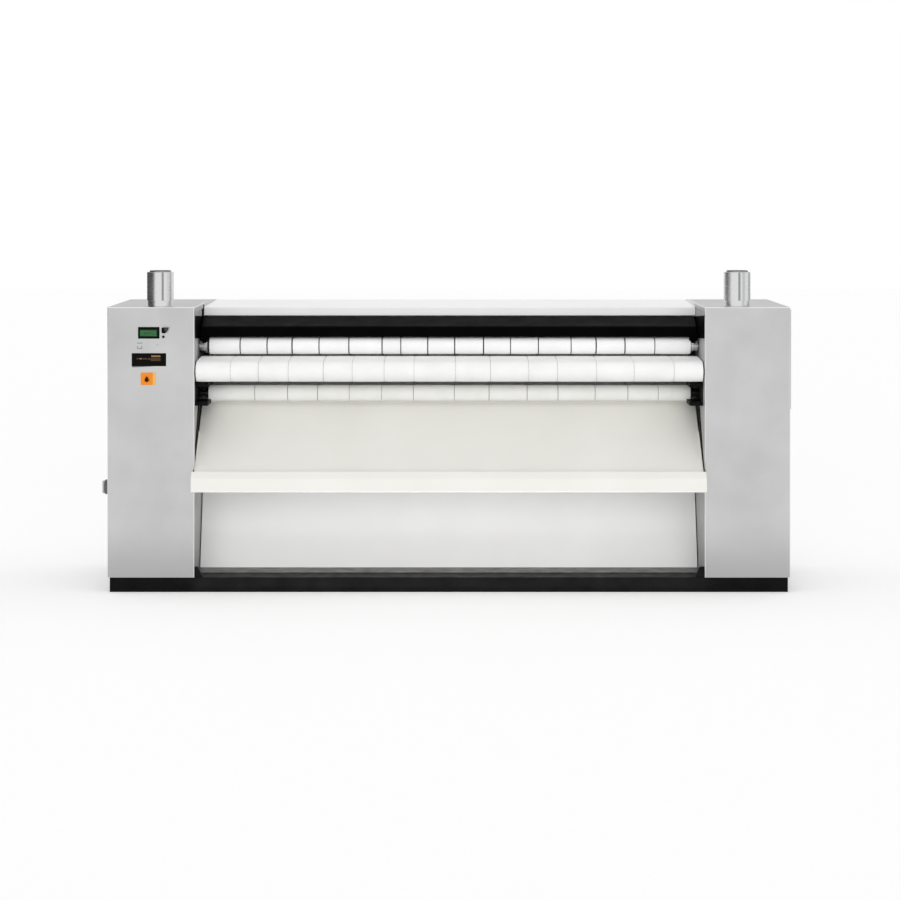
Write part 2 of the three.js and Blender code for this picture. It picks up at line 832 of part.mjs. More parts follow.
function addCabinetPanels(side) {
  const name = sideName(side);
  add(`${name}_side_panel`, prism(sideOutline, span(side, outerX - sheet, outerX)), brushedSteel);
  const behind = [cabinetDepth - sheet, cabinetDepth];
  add(`${name}_rear_panel`, box(span(side, wallX, outerX), behind, [baseHeight, innerTop]), brushedSteel);
}

function addRightCovers() {
  const depths = [coverPanMargin, cabinetDepth - coverPanMargin];
  const top = cabinetHeight - coverPanDrop;
  const foot = top - coverPanHeight;
  const pan = box([outerX, outerX + coverPanProud], depths, [foot, top]);
  const hollowDepths = [depths[0] + sheet, depths[1] - sheet];
  const hollowHeights = [foot + sheet, top - sheet];
  const hollow = box([outerX - overrun, outerX + coverPanProud - sheet], hollowDepths, hollowHeights);
  add("right_service_cover", pan.subtract(hollow), brushedSteel);
  const lowerTop = foot - lowerCoverGap;
  const lower = box([outerX, outerX + lowerCoverProud], depths, [lowerTop - lowerCoverHeight, lowerTop]);
  add("right_lower_cover", lower, brushedSteel);
}

function addStack(side) {
  const collarTop = cabinetHeight + stackCollarHeight;
  const sleeveTop = cabinetHeight + stackHeight;
  const foot = cabinetHeight - stackSpigotDepth;
  const profile = [
    [stackBore, foot],
    [stackSpigot, foot],
    [stackSpigot, cabinetHeight],
    [stackCollar, cabinetHeight],
    [stackCollar, collarTop],
    [stackSleeve, collarTop],
    [stackSleeve, sleeveTop],
    [stackRing, sleeveTop],
    [stackRing, sleeveTop + stackRingRise],
    [stackBore, sleeveTop + stackRingRise],
    [stackBore, foot],
  ];
  const stack = upright(profile, 0, cabinetDepth / 2);
  add(`${sideName(side)}_exhaust_stack`, stack, polishedSteel, [side * stackX, stackDepth, 0]);
}

// The fan's scroll and the neck that leads up from it into the stack.
function addFanHousing(side) {
  const across = span(side, stackX - fanWidth / 2, stackX + fanWidth / 2);
  const inside = span(side, stackX - fanWidth / 2 + fanWall, stackX + fanWidth / 2 - fanWall);
  const neck = [
    [stackDepth - neckHalf, innerTop],
    [stackDepth - neckHalf, innerTop - neckFrontHeight],
    [fanDepth - scrollRadius - fanWall, fanPlace[1]],
    [fanDepth, fanPlace[1] + scrollRadius + fanWall],
    [stackDepth + neckHalf, innerTop - neckRearHeight],
    [stackDepth + neckHalf, innerTop],
  ];
  let body = rod(scrollRadius + fanWall, across, fanPlace).add(prism(neck, across));
  const motorFar = stackX - fanWidth / 2 - fanMotorLength;
  body = body.add(rod(fanMotorRadius, span(side, motorFar, stackX - fanWidth / 2 + fanWall / 2), fanPlace));
  body = body.subtract(rod(scrollRadius, inside, fanPlace));
  body = body.subtract(prism(beside(neck, fanWall, true), inside));
  const hole = boreRadius(stackSpigot + play);
  const heights = [innerTop - 2 * fanWall, innerTop + overrun];
  body = body.subtract(post(hole, heights, side * stackX, stackDepth));
  const inlet = span(side, stackX + fanWidth / 2 - 2 * fanWall, stackX + fanWidth / 2 + overrun);
  body = body.subtract(rod(fanInlet, inlet, fanPlace));
  const bore = span(side, stackX - fanWidth / 2 - fanShaftLength - play, stackX - fanWidth / 2 + 2 * fanWall);
  body = body.subtract(rod(boreRadius(fanShaft + play), bore, fanPlace));
  add(`${sideName(side)}_fan_housing`, body, zincSteel);
}

function addImpeller(side) {
  const back = stackX - impellerWidth / 2;
  const own = [cabinetDepth / 2, 0];
  let body = rod(impellerRadius, span(side, back, back + impellerDisc), own);
  body = body.add(rod(impellerHub, span(side, back, back + impellerWidth / 2), own));
  const shaft = span(side, stackX - fanWidth / 2 - fanShaftLength, back + impellerDisc / 2);
  body = body.add(rod(fanShaft, shaft, own));
  const tip = impellerRadius - bladeSheet;
  const bladeWidth = impellerWidth - impellerDisc / 2;
  const bladeMiddle = side * (back + impellerWidth - bladeWidth / 2);
  for (let i = 0; i < bladeCount; i += 1) {
    const geometry = new THREE.BoxGeometry(bladeWidth, bladeSheet, bladeLength);
    geometry.translate(bladeMiddle, 0, -bladeLength / 2);
    geometry.rotateX(bladeAngle);
    geometry.translate(0, 0, tip);
    geometry.rotateX((2 * Math.PI * i) / bladeCount);
    body = body.add(solid(geometry));
  }
  add(`${sideName(side)}_fan_impeller`, body, zincSteel, [0, ...fanPlace]);
}

// The drum is a thick tube with heads, carried by hollow journals.
function addDrum() {
  const end = wallX - drumEndGap;
  const leftEnd = plateX + bearingLength + journalEnd;
  const rightEnd = pulleyX + pulleyWidth;
  const inner = drumRadius - drumWall;
  const profile = [
    [journalBore, -leftEnd],
    [journalRadius, -leftEnd],
    [journalRadius, -end],
    [drumRadius, -end],
    [drumRadius, end],
    [journalRadius, end],
    [journalRadius, rightEnd],
    [journalBore, rightEnd],
    [journalBore, end - drumHead],
    [inner, end - drumHead],
    [inner, drumHead - end],
    [journalBore, drumHead - end],
    [journalBore, -leftEnd],
  ];
  add("drum", turned(profile, [cabinetDepth / 2, 0], drumSides), polishedSteel, [0, ...drumPlace]);
}

function addBearing(side) {
  const bore = boreRadius(journalRadius + play);
  const profile = [
    [bore, side * plateX],
    [bearingFlange, side * plateX],
    [bearingFlange, side * (plateX + bearingFlangeSheet)],
    [bearingRadius, side * (plateX + bearingFlangeSheet)],
    [bearingRadius, side * (plateX + bearingLength)],
    [bore, side * (plateX + bearingLength)],
    [bore, side * plateX],
  ];
  add(`${sideName(side)}_drum_bearing`, turned(profile, drumPlace), castIron);
}

// Heating rods on a fixed tube: a cup on the left bearing and a bush in the right journal carry it.
function addHeater() {
  const cupStart = plateX + bearingLength + play;
  const cupFloor = plateX + bearingLength + journalEnd + play;
  const rightEnd = pulleyX;
  let body = rod(heaterTube, [-cupFloor - heaterCup / 2, rightEnd], drumPlace);
  body = body.add(rod(bearingRadius, [-cupFloor - heaterCup, -cupFloor], drumPlace));
  const cupBore = journalRadius + play + journalEnd;
  body = body.add(ring(cupBore, bearingRadius, [-cupFloor - play, -cupStart], drumPlace));
  body = body.add(rod(journalBore - play, [rightEnd - heaterBush, rightEnd], drumPlace));
  const rodEnd = wallX - drumEndGap - heaterRodEndGap;
  for (let i = 0; i < heaterRodCount; i += 1) {
    const place = polar(drumPlace, heaterCircleRadius, (360 * i) / heaterRodCount);
    body = body.add(rod(heaterRodRadius, [-rodEnd, rodEnd], place, rodSides));
  }
  for (let i = 0; i < heaterSpiderCount; i += 1) {
    const x = -rodEnd + heaterRodEndGap + ((2 * rodEnd - 2 * heaterRodEndGap) * i) / (heaterSpiderCount - 1);
    const faces = [x - heaterSpider / 2, x + heaterSpider / 2];
    body = body.add(rod(heaterCircleRadius + heaterSpiderRim, faces, drumPlace));
  }
  add("heater_carrier", body, castIron);
}

// A pulley with two flanges, between two X values, about its own axis.
function pulley(inner, radius) {
  const rim = radius + pulleyRim;
  const ends = [pulleyX, pulleyX + pulleyWidth];
  const profile = [
    [inner, ends[0]],
    [rim, ends[0]],
    [rim, ends[0] + pulleyFlange],
    [radius, ends[0] + pulleyFlange],
    [radius, ends[1] - pulleyFlange],
    [rim, ends[1] - pulleyFlange],
    [rim, ends[1]],
    [inner, ends[1]],
  ];
  if (inner > 0) profile.push(profile[0]);
  return turned(profile, [cabinetDepth / 2, 0], drumSides / 2);
}

function addDrive() {
  const bore = boreRadius(journalRadius + play, drumSides / 2);
  add("cylinder_pulley", pulley(bore, drumPulleyRadius), castIron, [0, ...drumPlace]);
  const shaft = rod(motorShaft, [pulleyX - motorShaftLength, pulleyX + pulleyFlange], [cabinetDepth / 2, 0]);
  add("motor_pulley", pulley(0, motorPulleyRadius).add(shaft), castIron, [0, ...motorPlace]);
  const middle = pulleyX + pulleyWidth / 2;
  const wheels = [
    { place: drumPlace, radius: drumPulleyRadius },
    { place: motorPlace, radius: motorPulleyRadius },
  ];
  const across = [middle - driveBeltWidth / 2, middle + driveBeltWidth / 2];
  add("drive_belt", beltLoop(wheels, driveBelt, across), rubber);
  const boxDepths = [motorPlace[0] - gearboxHalf, motorPlace[0] + gearboxHalf];
  const gearboxEnd = pulleyX - pulleyGap;
  let body = box([plateX, gearboxEnd], boxDepths, [motorHeight - gearboxHalf, motorHeight + gearboxHalf]);
  const stepTop = motorHeight - motorPulleyRadius - pulleyRim - gearboxStepGap;
  const stepHeights = [stepTop - gearboxStep, stepTop];
  body = body.add(box([plateX, plateX + gearboxReach], boxDepths, stepHeights));
  const shaftBore = [pulleyX - motorShaftLength - play, gearboxEnd + overrun];
  body = body.subtract(rod(boreRadius(motorShaft + play), shaftBore, motorPlace));
  const canHeights = [stepHeights[0] - motorLength, stepHeights[0] + gearboxStep / 2];
  body = body.add(post(motorRadius, canHeights, plateX + gearboxReach / 2, motorPlace[0]));
  add("gear_motor", body, motorPaint);
}

// The guard is a folded sheet that reaches down over the press roller. At each end it has a plate with a
// pin, and a lug that hangs beside the belts.
function addGuard() {
  const front = coverFrontDepth - guardAhead;
  const foot = [pressPlace[0] - guardFootAhead, guardFoot];
  const fold = [foot[0] + guardFoldDepth, foot[1] + guardFoldRise];
  const face = rounded([[front, guardTop], fold, foot], guardFoldRadius);
  const inner = beside(face, guardSheet);
  const end = wallX - guardSideGap;
  let body = prism([...face, ...[...inner].reverse()], [-end, end]);
  const earRear = front + guardEarDepth;
  const ear = [
    ...face,
    [foot[0] + guardEarFoot, foot[1]],
    [earRear, guardPivot[1] - guardPivotDrop - guardPin],
    [earRear, guardPivot[1] + guardEarRise],
  ];
  const lug = [
    face.at(-2),
    foot,
    [foot[0], foot[1] - guardLugDrop],
    [foot[0] + guardSheet, foot[1] - guardLugDrop],
    inner.at(-1),
    inner.at(-2),
  ];
  const lugNear = rollerHalf + guardLugGap;
  for (const side of [-1, 1]) {
    body = body.add(prism(ear, span(side, end - guardSheet, end)));
    body = body.add(prism(lug, span(side, lugNear, lugNear + guardLugWidth)));
    body = body.add(rod(guardPin, span(side, end - guardSheet / 2, wallX - play), guardPivot, pinSides));
  }
  add("finger_guard", body, blackPaint);
}

function addCheek(side) {
  const rear = coverFrontDepth + cheekRearDepth;
  const outline = [
    [cheekFrontDepth, cabinetHeight - cheekTopDrop],
    [cheekFrontDepth, runTop + cheekFootRise],
    [rear - cheekStepDepth, runTop - cheekFootDrop],
    [rear - cheekStepDepth, runTop - cheekStepDrop],
    [rear, runTop - cheekStepDrop],
    [rear, guardTop],
    [coverFrontDepth, guardTop],
  ];
  const body = prism(outline, span(side, liningX + play, wallX));
  const through = span(side, liningX, wallX + overrun);
  const bore = rod(boreRadius(guardPin + play, pinSides), through, guardPivot, pinSides);
  add(`${sideName(side)}_guard_cheek`, body.subtract(bore), blackPaint);
}

// A channel with two legs, under the top run of the feed belts and from wall to wall.
function addFeedBed() {
  const sized = feedWheels.map(({ place, radius }) => ({ place, radius: radius + play }));
  const run = straight(sized[1], sized[0]).ends;
  const slope = (run[0][1] - run[1][1]) / (run[0][0] - run[1][0]);
  const under = (depth) => run[1][1] + (depth - run[1][0]) * slope - play;
  const start = feedNosePlace[0] + feedNoseRadius + bedStartGap;
  const end = feedRearPlace[0] - feedRearRadius - bedEndGap;
  const line = [
    [end, under(end) - bedLeg],
    [end, under(end)],
    [start, under(start)],
    [start, under(start) - bedLeg],
  ];
  add("feed_bed", prism(folded(line, sheet), [-wallX, wallX]), zincSteel);
}

function addStripper() {
  const drumFront = drumPlace[0] - drumRadius;
  const rear = drumFront - stripperGap;
  const heights = [drumPlace[1], drumPlace[1] + stripperBar];
  let body = box([-wallX, wallX], [rear - stripperBar, rear], heights);
  const tip = drumFront - 2 * play;
  const finger = [
    [rear - fingerSheet, heights[1]],
    [rear - fingerSheet, heights[0]],
    [tip - fingerSheet, heights[0] - fingerDrop],
    [tip, heights[0] - fingerDrop],
    [rear + fingerSheet, heights[1]],
  ];
  const pitch = (2 * rollerHalf) / fingerCount;
  for (let i = 0; i < fingerCount; i += 1) {
    const x = -rollerHalf + pitch * (i + 1 / 2);
    body = body.add(prism(finger, [x - fingerWidth / 2, x + fingerWidth / 2]));
  }
  add("stripper_bar", body, turnedSteel);
}

// The tray's upper face as a line of depths and heights, from behind to the front.
const trayLine = [
  hemPlace,
  kneePlace,
  [-trayOut + traySheet, kneePlace[1] - trayBottomFall],
  [-trayOut + traySheet, kneePlace[1] - trayBottomFall + trayLip],
  [-trayOut + trayBevel, kneePlace[1] - trayBottomFall + trayLip + trayBevelRise],
];

function addTray() {
  const across = [-liningX, liningX];
  let body = prism(folded(trayLine, traySheet), across);
  body = body.add(rod(trayHem, across, hemPlace, pinSides));
  const end = [...beside(trayLine, traySheet / 2), ...beside(trayLine.slice(0, 2), -trayRim).reverse()];
  for (const side of [-1, 1]) {
    body = body.add(prism(end, span(side, liningX - trayRimSheet, liningX)));
  }
  add("linen_tray", body, creamEnamel);
}

// A black plate on the wall with two flanges, a tail along the chute and a ledge under the tray.
function addBracket(side) {
  const top = feedNosePlace[1] - feedNoseRadius - beltBuild - bracketGap;
  const foot = top - bracketHeight;
  const plateRear = outfeedFrontPlace[0] + bracketRearReach;
  const thin = span(side, liningX + play, wallX);
  const underTray = beside(trayLine.slice(0, 2), traySheet + play);
  const ledgeFoot = beside(trayLine.slice(0, 2), traySheet + play + trayLedge);
  const along = ([from, to], depth) => {
    const share = (depth - from[0]) / (to[0] - from[0]);
    return [depth, from[1] + share * (to[1] - from[1])];
  };
  const tailEnds = [bracketTailFront, plateRear];
  const outline = [
    [bracketFrontDepth, top],
    [bracketFrontDepth, foot],
    [outfeedFrontPlace[0] - outfeedFrontRadius - bracketTailRear, foot],
    along(trayLine.slice(0, 2), tailEnds[0]),
    along(ledgeFoot, tailEnds[0]),
    along(ledgeFoot, tailEnds[1]),
    [plateRear, top],
  ];
  let body = prism(outline, thin);
  const ledge = [
    along(underTray, tailEnds[0]),
    along(ledgeFoot, tailEnds[0]),
    along(ledgeFoot, tailEnds[1]),
    along(underTray, tailEnds[1]),
  ];
  body = body.add(prism(ledge, span(side, liningX - trayLedgeWidth, wallX)));
  const flangeEnd = outfeedFrontPlace[0] - outfeedFrontRadius - beltBuild - bracketFlangeEndGap;
  const flangeDepths = [bracketFrontDepth, flangeEnd];
  const reach = span(side, wallX - bracketFlangeReach, wallX);
  body = body.add(box(reach, flangeDepths, [top - bracketTopFlange, top]));
  body = body.add(box(reach, flangeDepths, [foot, foot + bracketFootFlange]));
  const through = span(side, liningX - overrun, wallX + overrun);
  for (const { place } of rollers) {
    body = body.subtract(rod(boreRadius(stubRadius + play, pinSides), through, place, pinSides));
  }
  add(`${sideName(side)}_outfeed_bracket`, body, blackPaint);
}

// Middles of the controls on the left cabinet's front, in X and height.
const displayAt = [-(wallX + displayOffset), cabinetHeight - displayDrop];
const selectorAt = [-(wallX + selectorOffset), cabinetHeight - selectorDrop];
const startAt = [-(wallX + startOffset), cabinetHeight - startDrop];
const plateAt = [-(wallX + plateOffset), cabinetHeight - plateDrop];
const stopPlateAt = [-(wallX + stopOffset), cabinetHeight - stopDrop];
const stopAt = [stopPlateAt[0] - stopButtonShift, stopPlateAt[1] - stopButtonFall];

// A box of a width and a height about a middle, between two depths.
function panel([x, height], width, tall, depths) {
  return box([x - width / 2, x + width / 2], depths, [height - tall / 2, height + tall / 2]);
}

// What passes through the cabinet's front behind the controls.
function controlHoles(depths) {
  const boss = [windowWidth * bezelBossShare + 2 * play, windowHeight * bezelBossShare + 2 * play];
  return [
    panel(displayAt, boss[0], boss[1], depths),
    pushRod(boreRadius(selectorShaft + play), depths, ...selectorAt),
    pushRod(boreRadius(startRadius + play), depths, ...startAt),
    pushRod(boreRadius(stopStem + play), depths, ...stopAt),
  ];
}

function addDisplay() {
  let bezel = panel(displayAt, bezelWidth, bezelHeight, [-bezelProud, 0]);
  const glassFront = windowSink - bezelProud;
  const recess = [-bezelProud - overrun, glassFront + windowGlass + play];
  bezel = bezel.subtract(panel(displayAt, windowWidth + 2 * play, windowHeight + 2 * play, recess));
  const boss = panel(displayAt, windowWidth * bezelBossShare, windowHeight * bezelBossShare, [-play, sheet]);
  add("display_bezel", bezel.add(boss), blackPlastic);
  const glass = panel(displayAt, windowWidth, windowHeight, [glassFront, glassFront + windowGlass]);
  add("display_window", glass, greenGlass);
}

function addControls() {
  addDisplay();
  const knobDepths = [-selectorLength - play, -play];
  const stemEnd = sheet + play + buttonBore;
  let knob = pushRod(selectorRadius, knobDepths, 0, 0);
  const tips = [polar([0, 0], selectorWing, selectorPoint), polar([0, 0], -selectorRadius, selectorPoint)];
  const wing = [...beside(tips, selectorWingWidth / 2), ...beside(tips, -selectorWingWidth / 2).reverse()];
  const wingDepths = [knobDepths[0] - selectorWingWidth / 2, knobDepths[0] + selectorWingWidth / 2];
  knob = knob.add(plate(wing, wingDepths));
  knob = knob.add(pushRod(selectorShaft, [knobDepths[0] / 2, stemEnd], 0, 0));
  add("selector_knob", knob, blackPlastic, [selectorAt[0], cabinetDepth / 2, selectorAt[1]]);
  add("start_button", pushRod(startRadius, [-startProud, stemEnd - startTravel], ...startAt), greyPlastic);
  add("name_plate", panel(plateAt, plateWidth, plateHeight, [-plateSheet, 0]), blackPlastic);
  const plateBore = pushRod(boreRadius(stopStem + play), [-plateSheet - overrun, overrun], ...stopAt);
  const stopPlate = panel(stopPlateAt, stopPlateWidth, stopPlateHeight, [-plateSheet, 0]);
  add("stop_plate", stopPlate.subtract(plateBore), orangePlastic);
  const headRear = -plateSheet - play - stopTravel;
  const headDepths = [headRear - stopButtonHead, headRear];
  const shoulder = stopButtonRadius * Math.SQRT1_2;
  const tip = [
    [stopAt[0] - shoulder, stopAt[1] + shoulder],
    [stopAt[0], stopAt[1]],
    [stopAt[0] + shoulder, stopAt[1] + shoulder],
    [stopAt[0], stopAt[1] + stopButtonTip],
  ];
  const head = pushRod(stopButtonRadius, headDepths, ...stopAt).add(plate(tip, headDepths));
  const stemDepths = [headDepths[0] + stopButtonHead / 2, stemEnd - stopTravel - play];
  const stem = pushRod(stopStem, stemDepths, ...stopAt);
  add("stop_button", head.add(stem), redPlastic);
}

// The box behind the controls, with a blind bore behind each of them.
function addControlBox() {
  const left = displayAt[0] - bezelWidth / 2 - 2 * controlBoxMargin;
  const right = selectorAt[0] + controlBoxMargin;
  const foot = stopAt[1] - stopButtonRadius - 2 * controlBoxMargin;
  const top = displayAt[1] + bezelHeight / 2 + controlBoxRim;
  const depths = [innerFront, innerFront + controlBoxDepth];
  const bores = [innerFront - overrun, innerFront + buttonBore + play];
  let body = box([left, right], depths, [foot, top]);
  body = body.subtract(wasm.Manifold.union(controlHoles(bores).slice(1)));
  add("control_box", body, greyPlastic);
}

function addIsolator() {
  const own = [isolatorDepth, isolatorHeight];
  const half = isolatorPlate / 2;
  const plateFar = outerX + isolatorPlateSheet;
  let base = box([-plateFar, -outerX], [own[0] - half, own[0] + half], [own[1] - half, own[1] + half]);
  const boreEnd = plateFar - isolatorShaftLength - play;
  base = base.subtract(rod(boreRadius(isolatorShaft + play), [-plateFar - overrun, -boreEnd], own));
  add("isolator_base", base, greyPlastic);
  const near = plateFar + play;
  const far = near + isolatorLength;
  const centre = [cabinetDepth / 2, 0];
  let knob = rod(isolatorRadius, [-far + isolatorGripHeight, -near], centre);
  const grip = [-isolatorGrip / 2, isolatorGrip / 2].map((depth) => cabinetDepth / 2 + depth);
  const gripLength = isolatorRadius - isolatorGrip / 2;
  knob = knob.add(box([-far, -far + 2 * isolatorGripHeight], grip, [-gripLength, gripLength]));
  knob = knob.add(rod(isolatorShaft, [-near - isolatorGripHeight, -plateFar + isolatorShaftLength], centre));
  add("isolator_knob", knob, greyPlastic, [0, ...own]);
}

addBase();
addLowerBody();
addTopCover();
for (const side of [-1, 1]) {
  addInnerPlate(side);
  addCasing(side);
  addCabinetPanels(side);
  addStack(side);
  addFanHousing(side);
  addImpeller(side);
  addBearing(side);
  addCheek(side);
  addBracket(side);
}
addRightCovers();
addDrum();
addHeater();
addDrive();
addGuard();
addRollers();
addBelts();
addFeedBed();
addStripper();
addTray();
addControls();
addControlBox();
addIsolator();

export default machine;
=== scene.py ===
"""The looks of a flatwork ironer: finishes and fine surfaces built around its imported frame.

Sizes are metres in the frame's own axes: +X to the right as seen from the front, +Y to the back, +Z up
from the floor. Each sub-assembly is a class that holds its sizes and builds and dresses its pieces.
"""

from __future__ import annotations

import json
import logging
import math
import random
from dataclasses import dataclass
from enum import Enum
from typing import Iterable, Sequence

import bmesh
import bpy
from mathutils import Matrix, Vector

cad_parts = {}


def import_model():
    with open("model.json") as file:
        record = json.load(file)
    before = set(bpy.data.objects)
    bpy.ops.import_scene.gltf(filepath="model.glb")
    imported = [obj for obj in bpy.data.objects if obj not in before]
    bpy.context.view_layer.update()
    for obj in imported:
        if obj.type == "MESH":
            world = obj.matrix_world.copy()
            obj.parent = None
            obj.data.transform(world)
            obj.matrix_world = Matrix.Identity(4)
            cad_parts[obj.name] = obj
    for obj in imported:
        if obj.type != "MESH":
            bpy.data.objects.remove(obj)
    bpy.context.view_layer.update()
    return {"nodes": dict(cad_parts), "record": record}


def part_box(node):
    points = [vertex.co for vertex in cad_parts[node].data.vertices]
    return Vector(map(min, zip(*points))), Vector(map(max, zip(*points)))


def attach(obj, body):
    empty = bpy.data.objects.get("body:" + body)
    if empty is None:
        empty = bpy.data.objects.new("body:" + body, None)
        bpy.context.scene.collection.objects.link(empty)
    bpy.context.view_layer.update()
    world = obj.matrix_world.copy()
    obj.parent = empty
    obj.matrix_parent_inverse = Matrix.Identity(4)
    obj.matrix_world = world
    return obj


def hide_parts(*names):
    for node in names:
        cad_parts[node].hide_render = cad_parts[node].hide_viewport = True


LOG = logging.getLogger("flatwork_ironer")
FRAME_BODY = "machine_frame"
Line = list[tuple[float, float]]
Span = tuple[float, float]
Socket = bpy.types.NodeSocket
Tree = bpy.types.NodeTree


class Side(Enum):
    """The two ends of the machine, with the sign of X there."""

    LEFT = -1
    RIGHT = 1

    @property
    def word(self) -> str:
        """The side's name as the nodes spell it."""
        return self.name.lower()

    def span(self, near: float, far: float) -> Span:
        """Two distances from the machine's middle as a low and a high X."""
        return (near, far) if self is Side.RIGHT else (-far, -near)


class Axis(Enum):
    """A direction to turn a profile about: its own vector, and two across it."""

    X = (Vector((1, 0, 0)), Vector((0, 1, 0)), Vector((0, 0, 1)))
    Y = (Vector((0, 1, 0)), Vector((0, 0, 1)), Vector((1, 0, 0)))
    Z = (Vector((0, 0, 1)), Vector((1, 0, 0)), Vector((0, 1, 0)))


def linear(hex_colour: str) -> tuple[float, float, float, float]:
    """Turns an sRGB hex colour into linear values.

    Args:
        hex_colour: Six hex digits.

    Returns:
        Red, green, blue and an alpha of 1.
    """
    channels = [int(hex_colour[i : i + 2], 16) / 255 for i in (0, 2, 4)]
    straight = [c / 12.92 if c <= 0.04045 else ((c + 0.055) / 1.055) ** 2.4 for c in channels]
    return (straight[0], straight[1], straight[2], 1.0)


def add_node(tree: Tree, kind: str, inputs: dict | None = None, **settings: object) -> bpy.types.Node:
    """Adds a node with its settings and its links.

    Args:
        tree: The node tree that gets the node.
        kind: Blender's name for the kind of node.
        inputs: Values for the node's sockets, or sockets that are linked to them, by name or number.
        settings: The node's own properties.

    Returns:
        The new node.
    """
    node = tree.nodes.new(kind)
    for name, value in settings.items():
        setattr(node, name, value)
    for key, value in (inputs or {}).items():
        if isinstance(value, Socket):
            tree.links.new(value, node.inputs[key])
        else:
            node.inputs[key].default_value = value
    return node


def fill(node: bpy.types.Node, values: dict[str, object]) -> None:
    """Sets the values of a node's sockets by their names."""
    for name, value in values.items():
        node.inputs[name].default_value = value


@dataclass(frozen=True)
class Finish:
    """A finish that a piece is dressed with. Subclasses add the pattern of their own material."""

    name: str
    slot: str
    colour: str
    roughness: float
    gloss: float = 0.5

    def material(self) -> bpy.types.Material:
        """Gives the finish as a Blender material, made the first time it is asked for.

        Returns:
            The material.
        """
        found = bpy.data.materials.get(self.name)
        if found:
            return found
        made = bpy.data.materials.new(self.name)
        made.use_nodes = True
        shader = made.node_tree.nodes["Principled BSDF"]
        given = {
            "Base Color": linear(self.colour),
            "Roughness": self.roughness,
            "Specular IOR Level": self.gloss,
        }
        fill(shader, given)
        self.dress(made.node_tree, shader)
        return made

    def dress(self, tree: Tree, shader: bpy.types.Node) -> None:
        """Adds the material's own pattern.

        Args:
            tree: The material's node tree.
            shader: Its surface shader.
        """

    def noise(
        self, tree: Tree, size: float, stretch: Sequence[float] = (1, 1, 1), detail: float = 3
    ) -> Socket:
        """Adds a noise whose grains have a real size.

        Args:
            tree: The material's node tree.
            size: Size of a grain in metres.
            stretch: How much the grain is drawn out along X, Y and Z, where smaller is longer.
            detail: Octaves of finer noise on top.

        Returns:
            The noise as a value from 0 to 1.
        """
        place = add_node(tree, "ShaderNodeTexCoord").outputs["Object"]
        scaled = add_node(
            tree, "ShaderNodeMapping", {"Vector": place, "Scale": [share / size for share in stretch]}
        )
        noise = add_node(
            tree, "ShaderNodeTexNoise", {"Vector": scaled.outputs[0], "Scale": 1.0, "Detail": detail}
        )
        return noise.outputs["Fac"]

    def spread(self, tree: Tree, value: Socket, low: float, high: float) -> Socket:
        """Maps a noise, which mostly lies between 0.3 and 0.7, onto a range.

        Args:
            tree: The material's node tree.
            value: The noise.
            low: What 0.3 becomes.
            high: What 0.7 becomes.

        Returns:
            The mapped value.
        """
        given = {"Value": value, "From Min": 0.3, "From Max": 0.7, "To Min": low, "To Max": high}
        return add_node(tree, "ShaderNodeMapRange", given).outputs[0]

    def roughen(
        self, tree: Tree, shader: bpy.types.Node, value: Socket, low: float, high: float
    ) -> None:
        """Lets the roughness wander about its own value with a noise.

        Args:
            tree: The material's node tree.
            shader: The surface shader.
            value: The noise.
            low: What is added to the roughness at 0.3.
            high: What is added at 0.7.
        """
        rough = self.spread(tree, value, self.roughness + low, self.roughness + high)
        tree.links.new(rough, shader.inputs["Roughness"])

    def tint(self, tree: Tree, shader: bpy.types.Node, value: Socket, darker: str, lighter: str) -> None:
        """Lets the colour wander between two colours with a value.

        Args:
            tree: The material's node tree.
            shader: The surface shader.
            value: A value from 0 to 1.
            darker: Hex colour at 0.
            lighter: Hex colour at 1.
        """
        mixed = self.blend(tree, value, linear(darker), linear(lighter))
        tree.links.new(mixed, shader.inputs["Base Color"])

    def blend(self, tree: Tree, share: Socket, first: object, second: object) -> Socket:
        """Mixes two colours, each given as linear values or as a socket."""
        mixed = add_node(tree, "ShaderNodeMix", {"Factor": share, 6: first, 7: second}, data_type="RGBA")
        return mixed.outputs[2]

    def emboss(
        self, tree: Tree, shader: bpy.types.Node, value: Socket, depth: float, strength: float
    ) -> None:
        """Adds fine relief.

        Args:
            tree: The material's node tree.
            shader: The surface shader.
            value: The height as a value from 0 to 1.
            depth: Height of the relief in metres.
            strength: How strongly it shows.
        """
        given = {"Height": value, "Distance": depth, "Strength": strength}
        bump = add_node(tree, "ShaderNodeBump", given)
        tree.links.new(bump.outputs[0], shader.inputs["Normal"])


